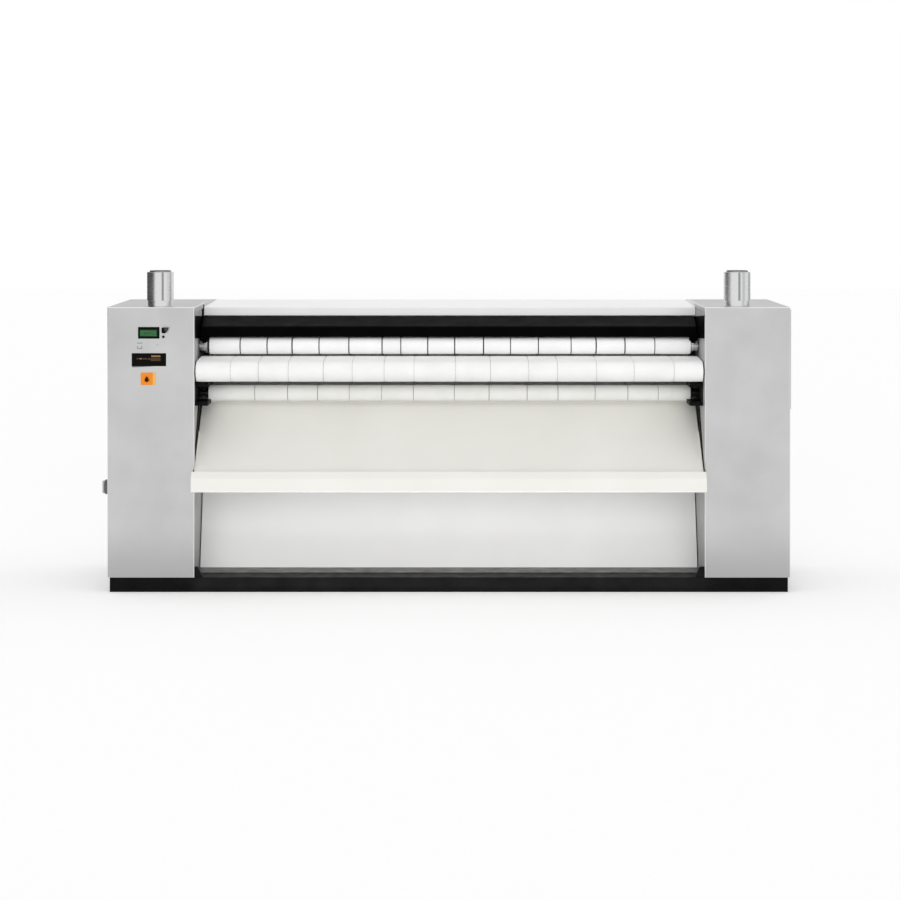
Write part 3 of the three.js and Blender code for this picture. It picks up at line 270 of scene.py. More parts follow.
@dataclass(frozen=True)
class BrushedStainless(Finish):
    """Stainless sheet, belt-brushed: a satin metal with fine lines and soft cloudy reflections."""

    upright: tuple[float, float, float] = (1.0, 1.0, 0.02)
    cloud: str = "c4c4c4"
    # Painted highlight: the light grey that the bends are lightened to.
    bend_highlight: str = "ededed"
    # Painted shade: the grey that the sheet darkens to towards the floor.
    foot: str = "b4b4b5"

    # The brushing of a 240 grit belt is about 0.1 mm apart. It is drawn 1.5 mm apart, so that it shows.
    line: float = 0.0015
    cloud_size: float = 0.22
    edge: float = 0.75
    foot_shade_heights: Span = (0.06, 0.3)
    bend_highlight_shares: Span = (0.96, 0.6)

    def dress(self, tree: Tree, shader: bpy.types.Node) -> None:
        """Adds brushing lines, the clouds that hands and cleaning leave, painted shade towards the floor and
        painted highlights at the bends.
        """
        fill(shader, {"Metallic": 1.0, "Specular Tint": (self.edge, self.edge, self.edge, 1.0)})
        lines = self.noise(tree, self.line, self.upright, 2)
        clouds = self.noise(tree, self.cloud_size)
        self.roughen(tree, shader, lines, -0.05, 0.06)
        clouded = self.spread(tree, clouds, 0.0, 1.0)
        sheet = self.blend(tree, clouded, linear(self.cloud), linear(self.colour))
        # Painted shade: the sheet darkens towards the floor, where it would mirror the shadowed floor.
        place = add_node(tree, "ShaderNodeTexCoord").outputs["Object"]
        height = add_node(tree, "ShaderNodeSeparateXYZ", {"Vector": place}).outputs["Z"]
        foot, top = self.foot_shade_heights
        given = {"Value": height, "From Min": foot, "From Max": top, "To Min": 1.0, "To Max": 0.0}
        low = add_node(tree, "ShaderNodeMapRange", given, interpolation_type="SMOOTHSTEP").outputs[0]
        sheet = self.blend(tree, low, sheet, linear(self.foot))
        # Painted highlight: the sheet is lightened at the outside of a bend, where the surface turns from
        # one axis to another.
        normal = add_node(tree, "ShaderNodeNewGeometry").outputs["Normal"]
        vectors = "ShaderNodeVectorMath"
        squared = add_node(tree, vectors, {0: normal, 1: normal}, operation="MULTIPLY").outputs[0]
        flat = add_node(tree, vectors, {0: squared, 1: squared}, operation="DOT_PRODUCT").outputs[1]
        straight, turning = self.bend_highlight_shares
        given = {"Value": flat, "From Min": straight, "From Max": turning, "To Min": 0.0, "To Max": 1.0}
        bend_highlight_mask = add_node(tree, "ShaderNodeMapRange", given).outputs[0]
        tree.links.new(self.blend(tree, bend_highlight_mask, sheet, linear(self.bend_highlight)), shader.inputs["Base Color"])
        self.emboss(tree, shader, lines, 0.00003, 0.12)


@dataclass(frozen=True)
class PolishedSteel(Finish):
    """Steel that was turned or ground and then polished: sharp bright and dark bands with faint rings."""

    line: float = 0.0012
    turned: tuple[float, float, float] = (1.0, 0.03, 0.03)

    def dress(self, tree: Tree, shader: bpy.types.Node) -> None:
        """Adds the tool's faint lines and a little unevenness of polish."""
        fill(shader, {"Metallic": 1.0})
        lines = self.noise(tree, self.line, self.turned, 2)
        patches = self.noise(tree, 0.03)
        self.roughen(tree, shader, patches, -0.02, 0.03)
        self.emboss(tree, shader, lines, 0.00002, 0.03)


@dataclass(frozen=True)
class StovedEnamel(Finish):
    """Stoved enamel on sheet steel: a smooth, slightly wavy paint film with a soft gloss."""

    shade: str = "e9e8e4"

    def dress(self, tree: Tree, shader: bpy.types.Node) -> None:
        """Adds the film's orange peel and its faint change of tone."""
        fill(shader, {"IOR": 1.5, "Coat Weight": 0.25, "Coat Roughness": 0.18})
        # Orange peel is 1 to 3 mm from crest to crest.
        peel = self.noise(tree, 0.0025, (1, 1, 1), 1)
        tone = self.noise(tree, 0.35)
        self.tint(tree, shader, self.spread(tree, tone, 0.0, 1.0), self.shade, self.colour)
        self.emboss(tree, shader, peel, 0.00004, 0.2)


@dataclass(frozen=True)
class PowderCoat(Finish):
    """Powder coat on steel: a dull black skin with a fine even grain, rubbed a little lighter in places."""

    rubbed: str = "1c1c1b"

    def dress(self, tree: Tree, shader: bpy.types.Node) -> None:
        """Adds the grain of the powder and the rubbed places."""
        fill(shader, {"IOR": 1.5})
        # The grain of textured powder is about 0.4 mm, drawn 1 mm here so that it shows.
        grain = self.noise(tree, 0.001, (1, 1, 1), 2)
        rubbing = self.noise(tree, 0.06)
        self.tint(tree, shader, self.spread(tree, rubbing, 0.0, 1.0), self.colour, self.rubbed)
        self.roughen(tree, shader, rubbing, 0.06, -0.06)
        self.emboss(tree, shader, grain, 0.0001, 0.25)


@dataclass(frozen=True)
class NeedledFelt(Finish):
    """Needled aramid and polyester felt, singed on its face: a dense matt cloth with a short nap."""

    shade: str = "e8e6e0"
    nap: float = 0.3

    def dress(self, tree: Tree, shader: bpy.types.Node) -> None:
        """Adds fibres, the needling's pitch and the uneven tone of use."""
        fill(shader, {"IOR": 1.45, "Sheen Weight": self.nap, "Sheen Roughness": 0.5})
        # Fibres lie about 0.3 mm apart and are drawn 1 mm apart. The needled rows are 3 mm apart.
        fibres = self.noise(tree, 0.001, (1, 1, 1), 4)
        rows = self.noise(tree, 0.003, (0.25, 1, 1), 1)
        tone = self.noise(tree, 0.09, (1, 1, 1), 2)
        height = add_node(tree, "ShaderNodeMath", {0: fibres, 1: rows}, operation="ADD").outputs[0]
        self.tint(tree, shader, self.spread(tree, tone, 0.0, 1.0), self.shade, self.colour)
        self.emboss(tree, shader, height, 0.0004, 0.35)


@dataclass(frozen=True)
class PlatedSteel(Finish):
    """Zinc-plated sheet: grey with the spangle's soft patches and a dull shine."""

    patch: str = "8d9092"

    def dress(self, tree: Tree, shader: bpy.types.Node) -> None:
        """Adds the spangle."""
        fill(shader, {"Metallic": 0.9})
        place = add_node(tree, "ShaderNodeTexCoord").outputs["Object"]
        spangle = add_node(tree, "ShaderNodeTexVoronoi", {"Vector": place, "Scale": 90.0})
        self.tint(tree, shader, spangle.outputs["Color"], self.patch, self.colour)
        self.roughen(tree, shader, self.noise(tree, 0.02), -0.08, 0.08)


@dataclass(frozen=True)
class PaintedCasting(Finish):
    """Grey iron casting with one coat of paint: a rough skin from the sand mould."""

    light: str = "5a5f62"

    def dress(self, tree: Tree, shader: bpy.types.Node) -> None:
        """Adds the sand's grain."""
        grain = self.noise(tree, 0.0025, (1, 1, 1), 4)
        self.tint(tree, shader, self.spread(tree, grain, 0.0, 1.0), self.colour, self.light)
        self.emboss(tree, shader, grain, 0.0004, 0.4)


@dataclass(frozen=True)
class MouldedPlastic(Finish):
    """Moulded polycarbonate or ABS: even colour with the fine spark-eroded grain of its mould."""

    grain_depth: float = 0.00005

    def dress(self, tree: Tree, shader: bpy.types.Node) -> None:
        """Adds the mould's grain and a faint change of shine."""
        fill(shader, {"IOR": 1.55})
        grain = self.noise(tree, 0.0006, (1, 1, 1), 2)
        self.roughen(tree, shader, self.noise(tree, 0.012), -0.05, 0.05)
        self.emboss(tree, shader, grain, self.grain_depth, 0.25)


@dataclass(frozen=True)
class MouldedRubber(Finish):
    """Black rubber with textile cords: matt, with a fine dusty grain."""

    dust: str = "2b2b2a"

    def dress(self, tree: Tree, shader: bpy.types.Node) -> None:
        """Adds the dusty grain."""
        grain = self.noise(tree, 0.0015, (1, 1, 1), 4)
        self.tint(tree, shader, self.spread(tree, grain, 0.0, 1.0), self.colour, self.dust)
        self.emboss(tree, shader, grain, 0.0002, 0.3)


@dataclass(frozen=True)
class LitPanel(Finish):
    """The backlit panel of a character display under its front glass: green, brighter in streaks."""

    dim: str = "1f4a29"
    glow: float = 0.05

    def dress(self, tree: Tree, shader: bpy.types.Node) -> None:
        """Adds the light's streaks, a weak glow and the glass as a clear coat."""
        fill(shader, {"Coat Weight": 0.15, "Coat Roughness": 0.05})
        streaks = self.noise(tree, 0.004, (0.15, 1, 1), 2)
        self.tint(tree, shader, self.spread(tree, streaks, 0.0, 1.0), self.dim, self.colour)
        fill(shader, {"Emission Color": linear(self.colour), "Emission Strength": self.glow})


RINGS_UP = (0.03, 0.03, 1.0)
STAINLESS = BrushedStainless("stainless_brushed_upright", "brushed_steel", "cfcfcf", 0.34)
STAINLESS_WALL = BrushedStainless("stainless_brushed_wall", "brushed_steel", "d6d7d7", 0.6)
STACK_STEEL = PolishedSteel("stack_steel_polished", "polished_steel", "dcdcdd", 0.26, turned=RINGS_UP)
ROLLER_STEEL = PolishedSteel("roller_steel_ground", "polished_steel", "d2d2d2", 0.18)
SEAM_STEEL = PolishedSteel("stack_seam_steel", "turned_steel", "969798", 0.4, turned=RINGS_UP)
TURNED_STEEL = PolishedSteel("steel_turned", "turned_steel", "aeb0b2", 0.3)
ZINC = PlatedSteel("sheet_zinc_plated", "zinc_steel", "9fa1a2", 0.42)
BLACK_COAT = PowderCoat("powder_coat_black", "black_paint", "080808", 0.5, 0.08, "0f0f0f")
BLACK_GLOSS = PowderCoat("powder_coat_rollers", "black_paint", "0b0b0b", 0.3, 0.5, "111111")
GUARD_COAT = PowderCoat("powder_coat_guard", "black_paint", "030303", 0.42, 0.015, "050505")
# Painted reflection: the floor pan's black paint is a much lighter grey than the frame's black, for the
# glancing light that its top reflects.
PAN_COAT_LIT = PowderCoat("powder_coat_pan_painted_sheen", "black_paint", "3d3d3c", 0.38, 0.25, "525251")
WHITE_ENAMEL = StovedEnamel("enamel_white_stoved", "white_enamel", "f8f8f8", 0.38, shade="f2f2f2")
CREAM_ENAMEL = StovedEnamel("enamel_cream_stoved", "cream_enamel", "f4f3ee", 0.45, shade="efeee8")
FELT = NeedledFelt("felt_needled_white", "felt", "fbfbfb", 0.95, shade="f5f5f5")
FEED_FELT = NeedledFelt("felt_needled_feed", "felt", "fafaf9", 0.95, shade="f3f3f2")
OUTFEED_FELT = NeedledFelt("felt_needled_outfeed", "felt", "f8f8f5", 0.95, shade="f1f1ed")
CASTING = PaintedCasting("iron_casting_painted", "cast_iron", "46494c", 0.6)
MOTOR_COAT = PaintedCasting("motor_enamel_grey", "motor_paint", "59636b", 0.5, light="66717a")
RUBBER = MouldedRubber("belt_rubber", "rubber", "1c1c1c", 0.85, 0.2)
# Painted shade: dark rubber on the press roller, which shows as shade in the gaps between the ironing belts.
SHADE_LAGGING = MouldedRubber("roller_shade_lagging_rubber", "rubber", "2a2a29", 0.85, 0.2, "363635")
BLACK_PLASTIC = MouldedPlastic("plastic_moulded_black", "black_plastic", "0b0b0b", 0.4, 0.04)
GREY_PLASTIC = MouldedPlastic("plastic_moulded_grey", "grey_plastic", "5b5e60", 0.42)
PALE_PLASTIC = MouldedPlastic("plastic_moulded_pale", "grey_plastic", "b9bbbb", 0.4)
ORANGE_PLASTIC = MouldedPlastic("plastic_moulded_orange", "orange_plastic", "f28c1e", 0.35, 0.25)
# Painted highlight: a lighter orange for the glossy right end of the stop plate.
ORANGE_HIGHLIGHT_PLASTIC = MouldedPlastic("plastic_moulded_orange_highlight", "orange_plastic", "efb45c", 0.35, 0.25)
RED_PLASTIC = MouldedPlastic("plastic_moulded_dark_red", "red_plastic", "421303", 0.35, 0.05)
DISPLAY_GREEN = LitPanel("display_backlight_green", "green_glass", "2c7839", 0.3, 0.1)
WING_PLASTIC = MouldedPlastic("plastic_moulded_dark_grey", "grey_plastic", "3c3c3e", 0.4, 0.2)
DISPLAY_BORDER = MouldedPlastic("display_border", "green_glass", "101412", 0.4, 0.1)
DISPLAY_INK = MouldedPlastic("display_segments", "green_glass", "566a5c", 0.4, 0.1)
GREY_INK = MouldedPlastic("printed_ink_grey", "grey_plastic", "8b8d8f", 0.5, 0.2, 0.0)
AMBER_INK = MouldedPlastic("printed_ink_amber", "black_plastic", "8f6c3f", 0.45, 0.2, 0.0)
BROWN_INK = MouldedPlastic("printed_ink_brown", "black_plastic", "463220", 0.45, 0.2, 0.0)


def rounded(points: Line, radius: float, steps: int = 6) -> Line:
    """Rounds the inner corners of an open line.

    Args:
        points: The line's corners.
        radius: Radius of each rounding.
        steps: Straight steps in each rounding.

    Returns:
        The line with arcs at its corners.
    """
    line = [points[0]]
    for i in range(1, len(points) - 1):
        corner = Vector(points[i])
        before = (Vector(points[i - 1]) - corner).normalized()
        after = (Vector(points[i + 1]) - corner).normalized()
        half = before.angle(after) / 2
        hub = corner + (before + after).normalized() * radius / math.sin(half)
        start = corner + before * radius / math.tan(half) - hub
        end = corner + after * radius / math.tan(half) - hub
        turn = math.atan2(start.cross(end), start.dot(end))
        for step in range(steps + 1):
            angle = turn * step / steps
            cosine, sine = math.cos(angle), math.sin(angle)
            spoke = Vector((start.x * cosine - start.y * sine, start.x * sine + start.y * cosine))
            line.append(tuple(hub + spoke))
    line.append(points[-1])
    return line


def beside(line: Line, distance: float) -> Line:
    """Moves an open line to its left.

    Args:
        line: The line's points.
        distance: How far it moves.

    Returns:
        The moved line, with its corners kept sharp.
    """
    moved = []
    for i, point in enumerate(line):
        here = Vector(point)
        arrive = here - Vector(line[i - 1]) if i else Vector(line[1]) - here
        leave = Vector(line[i + 1]) - here if i + 1 < len(line) else arrive
        lefts = [Vector((-way.y, way.x)).normalized() for way in (arrive, leave)]
        out = (lefts[0] + lefts[1]).normalized()
        moved.append(tuple(here + out * distance / out.dot(lefts[1])))
    return moved


def folded(points: Line, thickness: float, radius: float) -> Line:
    """The closed outline of a folded sheet.

    Args:
        points: The corners of one face.
        thickness: The sheet's thickness, to the left of that face.
        radius: Radius of the folds on that face.

    Returns:
        The outline.
    """
    face = rounded(points, radius)
    return [*face, *reversed(beside(face, thickness))]


class Shape:
    """Closed surfaces gathered into one mesh."""

    def __init__(self) -> None:
        """Starts with nothing in it."""
        self.mesh = bmesh.new()

    def skin(
        self, rings: Sequence[Sequence[Sequence[float]]], around: bool = True, along: bool = False
    ) -> Shape:
        """Stretches a surface over rings of points.

        Args:
            rings: Rings with the same number of points each.
            around: Whether each ring closes on itself.
            along: Whether the last ring joins the first. If not, flat faces close the two ends.

        Returns:
            The shape itself.
        """
        grid = [[self.mesh.verts.new(point) for point in ring] for ring in rings]
        rows = [*grid, grid[0]] if along else grid
        count = len(grid[0])
        for low, high in zip(rows, rows[1:]):
            for i in range(count if around else count - 1):
                j = (i + 1) % count
                self.mesh.faces.new((low[i], low[j], high[j], high[i]))
        if not along:
            self.mesh.faces.new(grid[0][::-1])
            self.mesh.faces.new(grid[-1])
        return self

    def prism(self, outline: Line, across: Iterable[float]) -> Shape:
        """Draws an outline of Y and Z values out along X."""
        return self.skin([[(x, y, z) for y, z in outline] for x in across])

    def slab(self, outline: Line, depths: Span) -> Shape:
        """Draws an outline of X and Z values out along Y."""
        return self.skin([[(x, y, z) for x, z in outline] for y in depths])

    def box(self, across: Span, depths: Span, heights: Span) -> Shape:
        """Adds a box between two values of X, Y and Z each."""
        (near, far), (low, high) = depths, heights
        return self.prism([(near, low), (far, low), (far, high), (near, high)], across)

    def lathe(self, profile: Line, centre: Vector, axis: Axis = Axis.X, segments: int = 64) -> Shape:
        """Turns a profile about an axis.

        Args:
            profile: Radii and places along the axis. It ends on the axis or closes on itself.
            centre: A point on the axis, from which the places count.
            axis: The axis's direction.
            segments: Sides of the round.

        Returns:
            The shape itself.
        """
        way, first, second = axis.value
        closed = profile[0] == profile[-1]
        points = profile[:-1] if closed else profile
        rings = []
        for k in range(segments):
            angle = 2 * math.pi * k / segments
            spoke = first * math.cos(angle) + second * math.sin(angle)
            rings.append([centre + way * place + spoke * radius for radius, place in points])
        return self.skin(rings, around=closed, along=True)

    def disc(
        self, radius: float, ends: Span, centre: Vector, axis: Axis = Axis.Y, segments: int = 32
    ) -> Shape:
        """Adds a round bar between two places along an axis."""
        profile = [(0.0, ends[0]), (radius, ends[0]), (radius, ends[1]), (0.0, ends[1])]
        return self.lathe(profile, centre, axis, segments)

    def clean(self) -> Shape:
        """Joins the points that lie on each other and turns all faces outwards."""
        bmesh.ops.remove_doubles(self.mesh, verts=self.mesh.verts, dist=1e-6)
        bmesh.ops.recalc_face_normals(self.mesh, faces=self.mesh.faces)
        return self

    def soften(self, radius: float, steps: int = 2, sharpest: float = 40.0) -> Shape:
        """Rounds every edge that is sharper than an angle.

        Args:
            radius: Size of the rounding.
            steps: Steps in each rounding.
            sharpest: The angle in degrees between two faces that still counts as smooth.

        Returns:
            The shape itself.
        """
        self.clean()
        limit = math.radians(sharpest)
        edges = [e for e in self.mesh.edges if len(e.link_faces) == 2 and e.calc_face_angle() > limit]
        shape = {"segments": steps, "profile": 0.5, "affect": "EDGES", "clamp_overlap": True}
        bmesh.ops.bevel(self.mesh, geom=edges, offset=radius, **shape)
        return self

    def cut(self, tool: Shape) -> Shape:
        """Cuts another shape out of this one.

        Args:
            tool: What is taken away.

        Returns:
            The shape itself.
        """
        whole, cutter = self.clean().as_object("whole"), tool.clean().as_object("cutter")
        boolean = whole.modifiers.new("cut", "BOOLEAN")
        boolean.object = cutter
        boolean.operation = "DIFFERENCE"
        self.take_back(whole)
        bpy.data.objects.remove(cutter)
        return self

    def thicken(self, thickness: float) -> Shape:
        """Turns an open surface into a sheet, to the side that its faces turn away from.

        Args:
            thickness: The sheet's thickness.

        Returns:
            The shape itself.
        """
        whole = self.as_object("surface")
        sheet = whole.modifiers.new("sheet", "SOLIDIFY")
        sheet.thickness = thickness
        sheet.offset = -1
        sheet.use_even_offset = True
        self.take_back(whole)
        return self

    def as_object(self, name: str) -> bpy.types.Object:
        """Moves the mesh into an object of the scene."""
        data = bpy.data.meshes.new(name)
        self.mesh.to_mesh(data)
        self.mesh.free()
        made = bpy.data.objects.new(name, data)
        bpy.context.scene.collection.objects.link(made)
        return made

    def take_back(self, whole: bpy.types.Object) -> None:
        """Moves an object's mesh back here as its modifiers leave it, and removes the object.

        Args:
            whole: The object.
        """
        evaluated = whole.evaluated_get(bpy.context.evaluated_depsgraph_get())
        result = bpy.data.meshes.new_from_object(evaluated)
        self.mesh = bmesh.new()
        self.mesh.from_mesh(result)
        bpy.data.objects.remove(whole)

    def piece(
        self,
        name: str,
        finish: Finish,
        body: str = FRAME_BODY,
        replaces: Sequence[str] = (),
        smooth: float = 35.0,
    ) -> bpy.types.Object:
        """Finishes the shape as a piece of the machine.

        Args:
            name: The piece's name.
            finish: What it is dressed with.
            body: The body that it moves with.
            replaces: Nodes of the frame that it stands for.
            smooth: The angle in degrees up to which two faces shade as one.

        Returns:
            The piece.
        """
        made = self.clean().as_object(name)
        made.data.shade_smooth()
        made.data.set_sharp_from_angle(angle=math.radians(smooth))
        made.data.materials.append(finish.material())
        weighted = made.modifiers.new("weighted", "WEIGHTED_NORMAL")
        weighted.keep_sharp = True
        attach(made, body)
        if replaces:
            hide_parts(*replaces)
        LOG.info("%s: %d faces, rides on %s", name, len(made.data.polygons), body)
        return made


@dataclass(frozen=True)
class Machine:
    """The main sizes of the machine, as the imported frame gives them."""

    wall: float
    outer: float
    front: float
    back: float
    foot: float
    top: float

    @classmethod
    def from_frame(cls) -> Machine:
        """Reads the sizes off the right cabinet."""
        low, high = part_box("right_casing")
        return cls(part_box("right_guard_cheek")[1].x, high.x, low.y, high.y, low.z, high.z)


def middle(node: str) -> Vector:
    """The middle of a node of the frame."""
    low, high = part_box(node)
    return (low + high) / 2


def spans(node: str) -> tuple[Span, Span, Span]:
    """The box of a node of the frame, as its spans along X, Y and Z."""
    low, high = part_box(node)
    return ((low.x, high.x), (low.y, high.y), (low.z, high.z))


def shifted(span: Span, place: float) -> Span:
    """A span of distances from a place, as places along that axis."""
    return (place + span[0], place + span[1])


def screws(
    places: Iterable[tuple[float, float]], level: float, axis: Axis, out: float, radius: float = 0.005
) -> Shape:
    """Makes a row of pan-head screws with a hexagon socket.

    Args:
        places: The two coordinates of each screw on its face, in the order of the axis's two vectors.
        level: Where the face lies along the axis.
        axis: The direction that the screws point in.
        out: 1 or -1: the way out of the face along the axis.
        radius: Radius of a head.

    Returns:
        The screws as one shape.
    """
    made = Shape()
    way, first, second = axis.value
    rise, socket, depth = radius * 0.45, radius * 0.42, radius * 0.3
    profile = [
        (0.0, 0.0),
        (radius, 0.0),
        (radius, rise * 0.45),
        (radius * 0.82, rise * 0.85),
        (radius * 0.6, rise),
        (socket, rise),
        (socket, rise - depth),
        (0.0, rise - depth),
    ]
    for a, b in places:
        centre = way * level + first * a + second * b
        made.lathe([(r, out * place) for r, place in profile], centre, axis, 18)
    return made


@dataclass
class Cabinet:
    """One stainless cabinet: a folded casing with a flashing, an outer panel, an inner wall and a back."""

    machine: Machine
    side: Side
    sheet: float = 0.002
    top_bend: float = 0.006
    inner_bend: float = 0.006
    outer_bend: float = 0.003
    left_reach: float = 0.006
    # How far the flashing reaches in over the drum cover, at the front and at the back, and how much less
    # it does so on the right.
    flashing_reach: Span = (0.0085, 0.0275)
    right_trim: Span = (0.008, 0.0195)
    flashing_lap: float = 0.006
    flashing_over: float = 0.0005
    flashing_sheet: float = 0.0012
    flashing_gap: float = 0.0002
    rim: float = 0.022
    seam: float = 0.001
    wall_plate: float = 0.008
    rear_recess: float = 0.004
    stack_hole: float = 0.0475
    bore: float = 0.0104
    journal_bore: float = 0.0445
    panel_edge: float = 0.0006
    side_screw_inset: float = 0.015
    rear_screw_insets: Span = (0.014, 0.02)
    ledge_reach: float = 0.02
    ledge_sheet: float = 0.003
    ledge_drop: float = 0.0026
    ledge_insets: Span = (0.015, 0.04)
    louvre_pitch: float = 0.026
    louvre_reach: float = 0.003
    louvre_rise: float = 0.011
    louvre_root: float = 0.0005
    louvre_lip: float = 0.0002
    louvre_half: float = 0.075
    # The two fields of louvres start this far below the panel's top and above its foot.
    louvre_places: Span = (0.16, 0.36)
    louvre_count: int = 9
    overrun: float = 0.01

    def build(self) -> None:
        """Builds the cabinet's pieces."""
        self.casing()
        self.outer_panel()
        self.inner_wall()
        self.rear_panel()

    def casing(self) -> None:
        """The front and top, folded from one sheet, with narrow rims round the edges."""
        m = self.machine
        near = m.wall - (self.left_reach if self.side is Side.LEFT else 0.0)
        near_far = self.side.span(near, m.outer)
        shape = Shape()
        mesh = shape.mesh
        corner = {
            (x, y, z): mesh.verts.new((x, y, z))
            for x in near_far
            for y, z in ((m.front, m.foot), (m.front, m.top), (m.back, m.top))
        }
        left, right = near_far

        def row(x: float) -> list[bmesh.types.BMVert]:
            """The foot, the fold and the rear end of the sheet at one edge."""
            return [corner[x, m.front, m.foot], corner[x, m.front, m.top], corner[x, m.back, m.top]]

        a, b = row(left), row(right)
        mesh.faces.new((a[0], b[0], b[1], a[1]))
        mesh.faces.new((a[1], b[1], b[2], a[2]))
        for x, line in ((left, a), (right, b)):
            inner = [
                mesh.verts.new((x, m.back, m.top - self.rim)),
                mesh.verts.new((x, m.front + self.rim, m.top - self.rim)),
                mesh.verts.new((x, m.front + self.rim, m.foot)),
            ]
            mesh.faces.new([*line, *inner] if x == left else [*line, *inner][::-1])
        mesh.edges.ensure_lookup_table()
        fold = [e for e in mesh.edges if e.verts[0] in (a[1], b[1]) and e.verts[1] in (a[1], b[1])]
        bmesh.ops.bevel(mesh, geom=fold, offset=self.top_bend, segments=6, profile=0.5, affect="EDGES")
        for reach, bend in ((near, self.inner_bend), (m.outer, self.outer_bend)):
            rims = [
                e
                for e in mesh.edges
                if len(e.link_faces) == 2
                and e.calc_face_angle() > math.radians(60)
                and all(abs(abs(v.co.x) - reach) < 1e-5 for v in e.verts)
            ]
            bmesh.ops.bevel(mesh, geom=rims, offset=bend, segments=6, profile=0.5, affect="EDGES")
        bmesh.ops.recalc_face_normals(mesh, faces=mesh.faces)
        front_face = max(mesh.faces, key=lambda face: -face.calc_center_median().y)
        if front_face.normal.y > 0:
            bmesh.ops.reverse_faces(mesh, faces=mesh.faces)
        shape.thicken(self.sheet)
        stack = middle(f"{self.side.word}_exhaust_stack")
        ends = (m.top - 2 * self.overrun, m.top + 2 * self.overrun)
        shape.cut(Shape().disc(self.stack_hole, ends, Vector((stack.x, stack.y, 0)), Axis.Z, 64))
        word = self.side.word
        shape.piece(f"{word}_cabinet_casing", STAINLESS, replaces=[f"{word}_casing"])
        self.flashing()

    def flashing(self) -> None:
        """The strip that leads from the casing's top down onto the drum cover."""
        m = self.machine
        low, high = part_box("top_cover")
        far = self.side.value * (m.wall + self.flashing_lap)
        levels = (low.z + TopCover.lip, high.z + TopCover.rear_lift)
        trims = self.right_trim if self.side is Side.RIGHT else (0.0, 0.0)
        rings = []
        for y, level, reach, trim in zip((low.y + self.seam, high.y), levels, self.flashing_reach, trims):
            near = self.side.value * (m.wall - reach + trim)
            outline = [
                (far, m.top + self.flashing_over),
                (near, level + self.flashing_sheet),
                (near, level + self.flashing_gap),
                (far, m.top - self.flashing_sheet),
            ]
            rings.append([(x, y, z) for x, z in outline])
        Shape().skin(rings).piece(f"{self.side.word}_top_flashing", STAINLESS)

    def outer_panel(self) -> None:
        """The outer side, a flat panel set into the casing's rims; the left one gets its screws."""
        m, word = self.machine, self.side.word
        across = self.side.span(m.outer - self.sheet, m.outer)
        depths = (m.front + self.rim + self.seam, m.back - self.rear_recess - self.seam)
        heights = (m.foot, m.top - self.rim - self.seam)
        shape = Shape().box(across, depths, heights).soften(self.panel_edge)
        shape.piece(f"{word}_outer_panel", STAINLESS, replaces=[f"{word}_side_panel"])
        if self.side is Side.LEFT:
            inset = self.side_screw_inset
            tall = heights[1] - heights[0] - 4 * inset
            rows = [heights[0] + 2 * inset + i * tall / 4 for i in range(5)]
            places = [(y, z) for z in rows for y in (depths[0] + inset, depths[1] - inset)]
            screws(places, -m.outer, Axis.X, -1).piece(f"{word}_panel_screws", TURNED_STEEL)

    def inner_wall(self) -> None:
        """The thick plate beside the drum, with the rollers' bores and the ledge for the drum cover."""
        m, word = self.machine, self.side.word
        across = self.side.span(m.wall, m.wall + self.wall_plate)
        depths = (m.front + self.rim + self.seam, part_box(f"{word}_inner_plate")[1].y)
        shape = Shape().box(across, depths, (m.foot, m.top - self.rim - self.seam))
        tool = Shape()
        cut = self.side.span(m.wall - self.overrun, m.wall + self.wall_plate + self.overrun)
        for node in RollerSet.NODES:
            tool.disc(self.bore, cut, Vector((0, *middle(node).yz)), Axis.X, 32)
        tool.disc(self.journal_bore, cut, Vector((0, *middle("drum").yz)), Axis.X, 64)
        self.ledge(shape.cut(tool))
        shape.piece(f"{word}_inner_wall", STAINLESS_WALL, replaces=[f"{word}_inner_plate"])

    def ledge(self, shape: Shape) -> None:
        """Adds the sloping ledge that the drum cover lies on.

        Args:
            shape: The inner wall that gets it.
        """
        low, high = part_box("top_cover")
        seat = low.z + TopCover.lip
        slope = (high.z - seat) / (high.y - low.y)
        ends = (low.y + self.ledge_insets[0], high.y - self.ledge_insets[1])
        upper = [(y, seat - self.ledge_drop + slope * (y - low.y)) for y in ends]
        lower = [(y, z - self.ledge_sheet) for y, z in reversed(upper)]
        wall = self.machine.wall
        shape.prism([*upper, *lower], self.side.span(wall - self.ledge_reach, wall))

    def rear_panel(self) -> None:
        """The cabinet's back: a screwed panel with a field of louvres for the fan's air."""
        m, word = self.machine, self.side.word
        face = m.back - self.rear_recess
        across = self.side.span(m.wall + self.seam, m.outer - self.sheet - self.seam)
        heights = (m.foot, m.top - self.sheet - self.seam)
        shape = Shape().box(across, (face - self.sheet, face), heights).soften(self.panel_edge)
        centre = (across[0] + across[1]) / 2
        for field_top in (heights[1] - self.louvre_places[0], heights[0] + self.louvre_places[1]):
            for i in range(self.louvre_count):
                self.louvre(shape, centre, face, field_top - i * self.louvre_pitch)
        shape.piece(f"{word}_back_panel", STAINLESS, replaces=[f"{word}_rear_panel"])
        beside_edge, over_foot = self.rear_screw_insets
        tall = heights[1] - heights[0] - 2 * over_foot
        rows = [heights[0] + over_foot + i * tall / 5 for i in range(6)]
        places = [(z, x) for z in rows for x in (across[0] + beside_edge, across[1] - beside_edge)]
        screws(places, face, Axis.Y, 1).piece(f"{word}_back_screws", TURNED_STEEL)

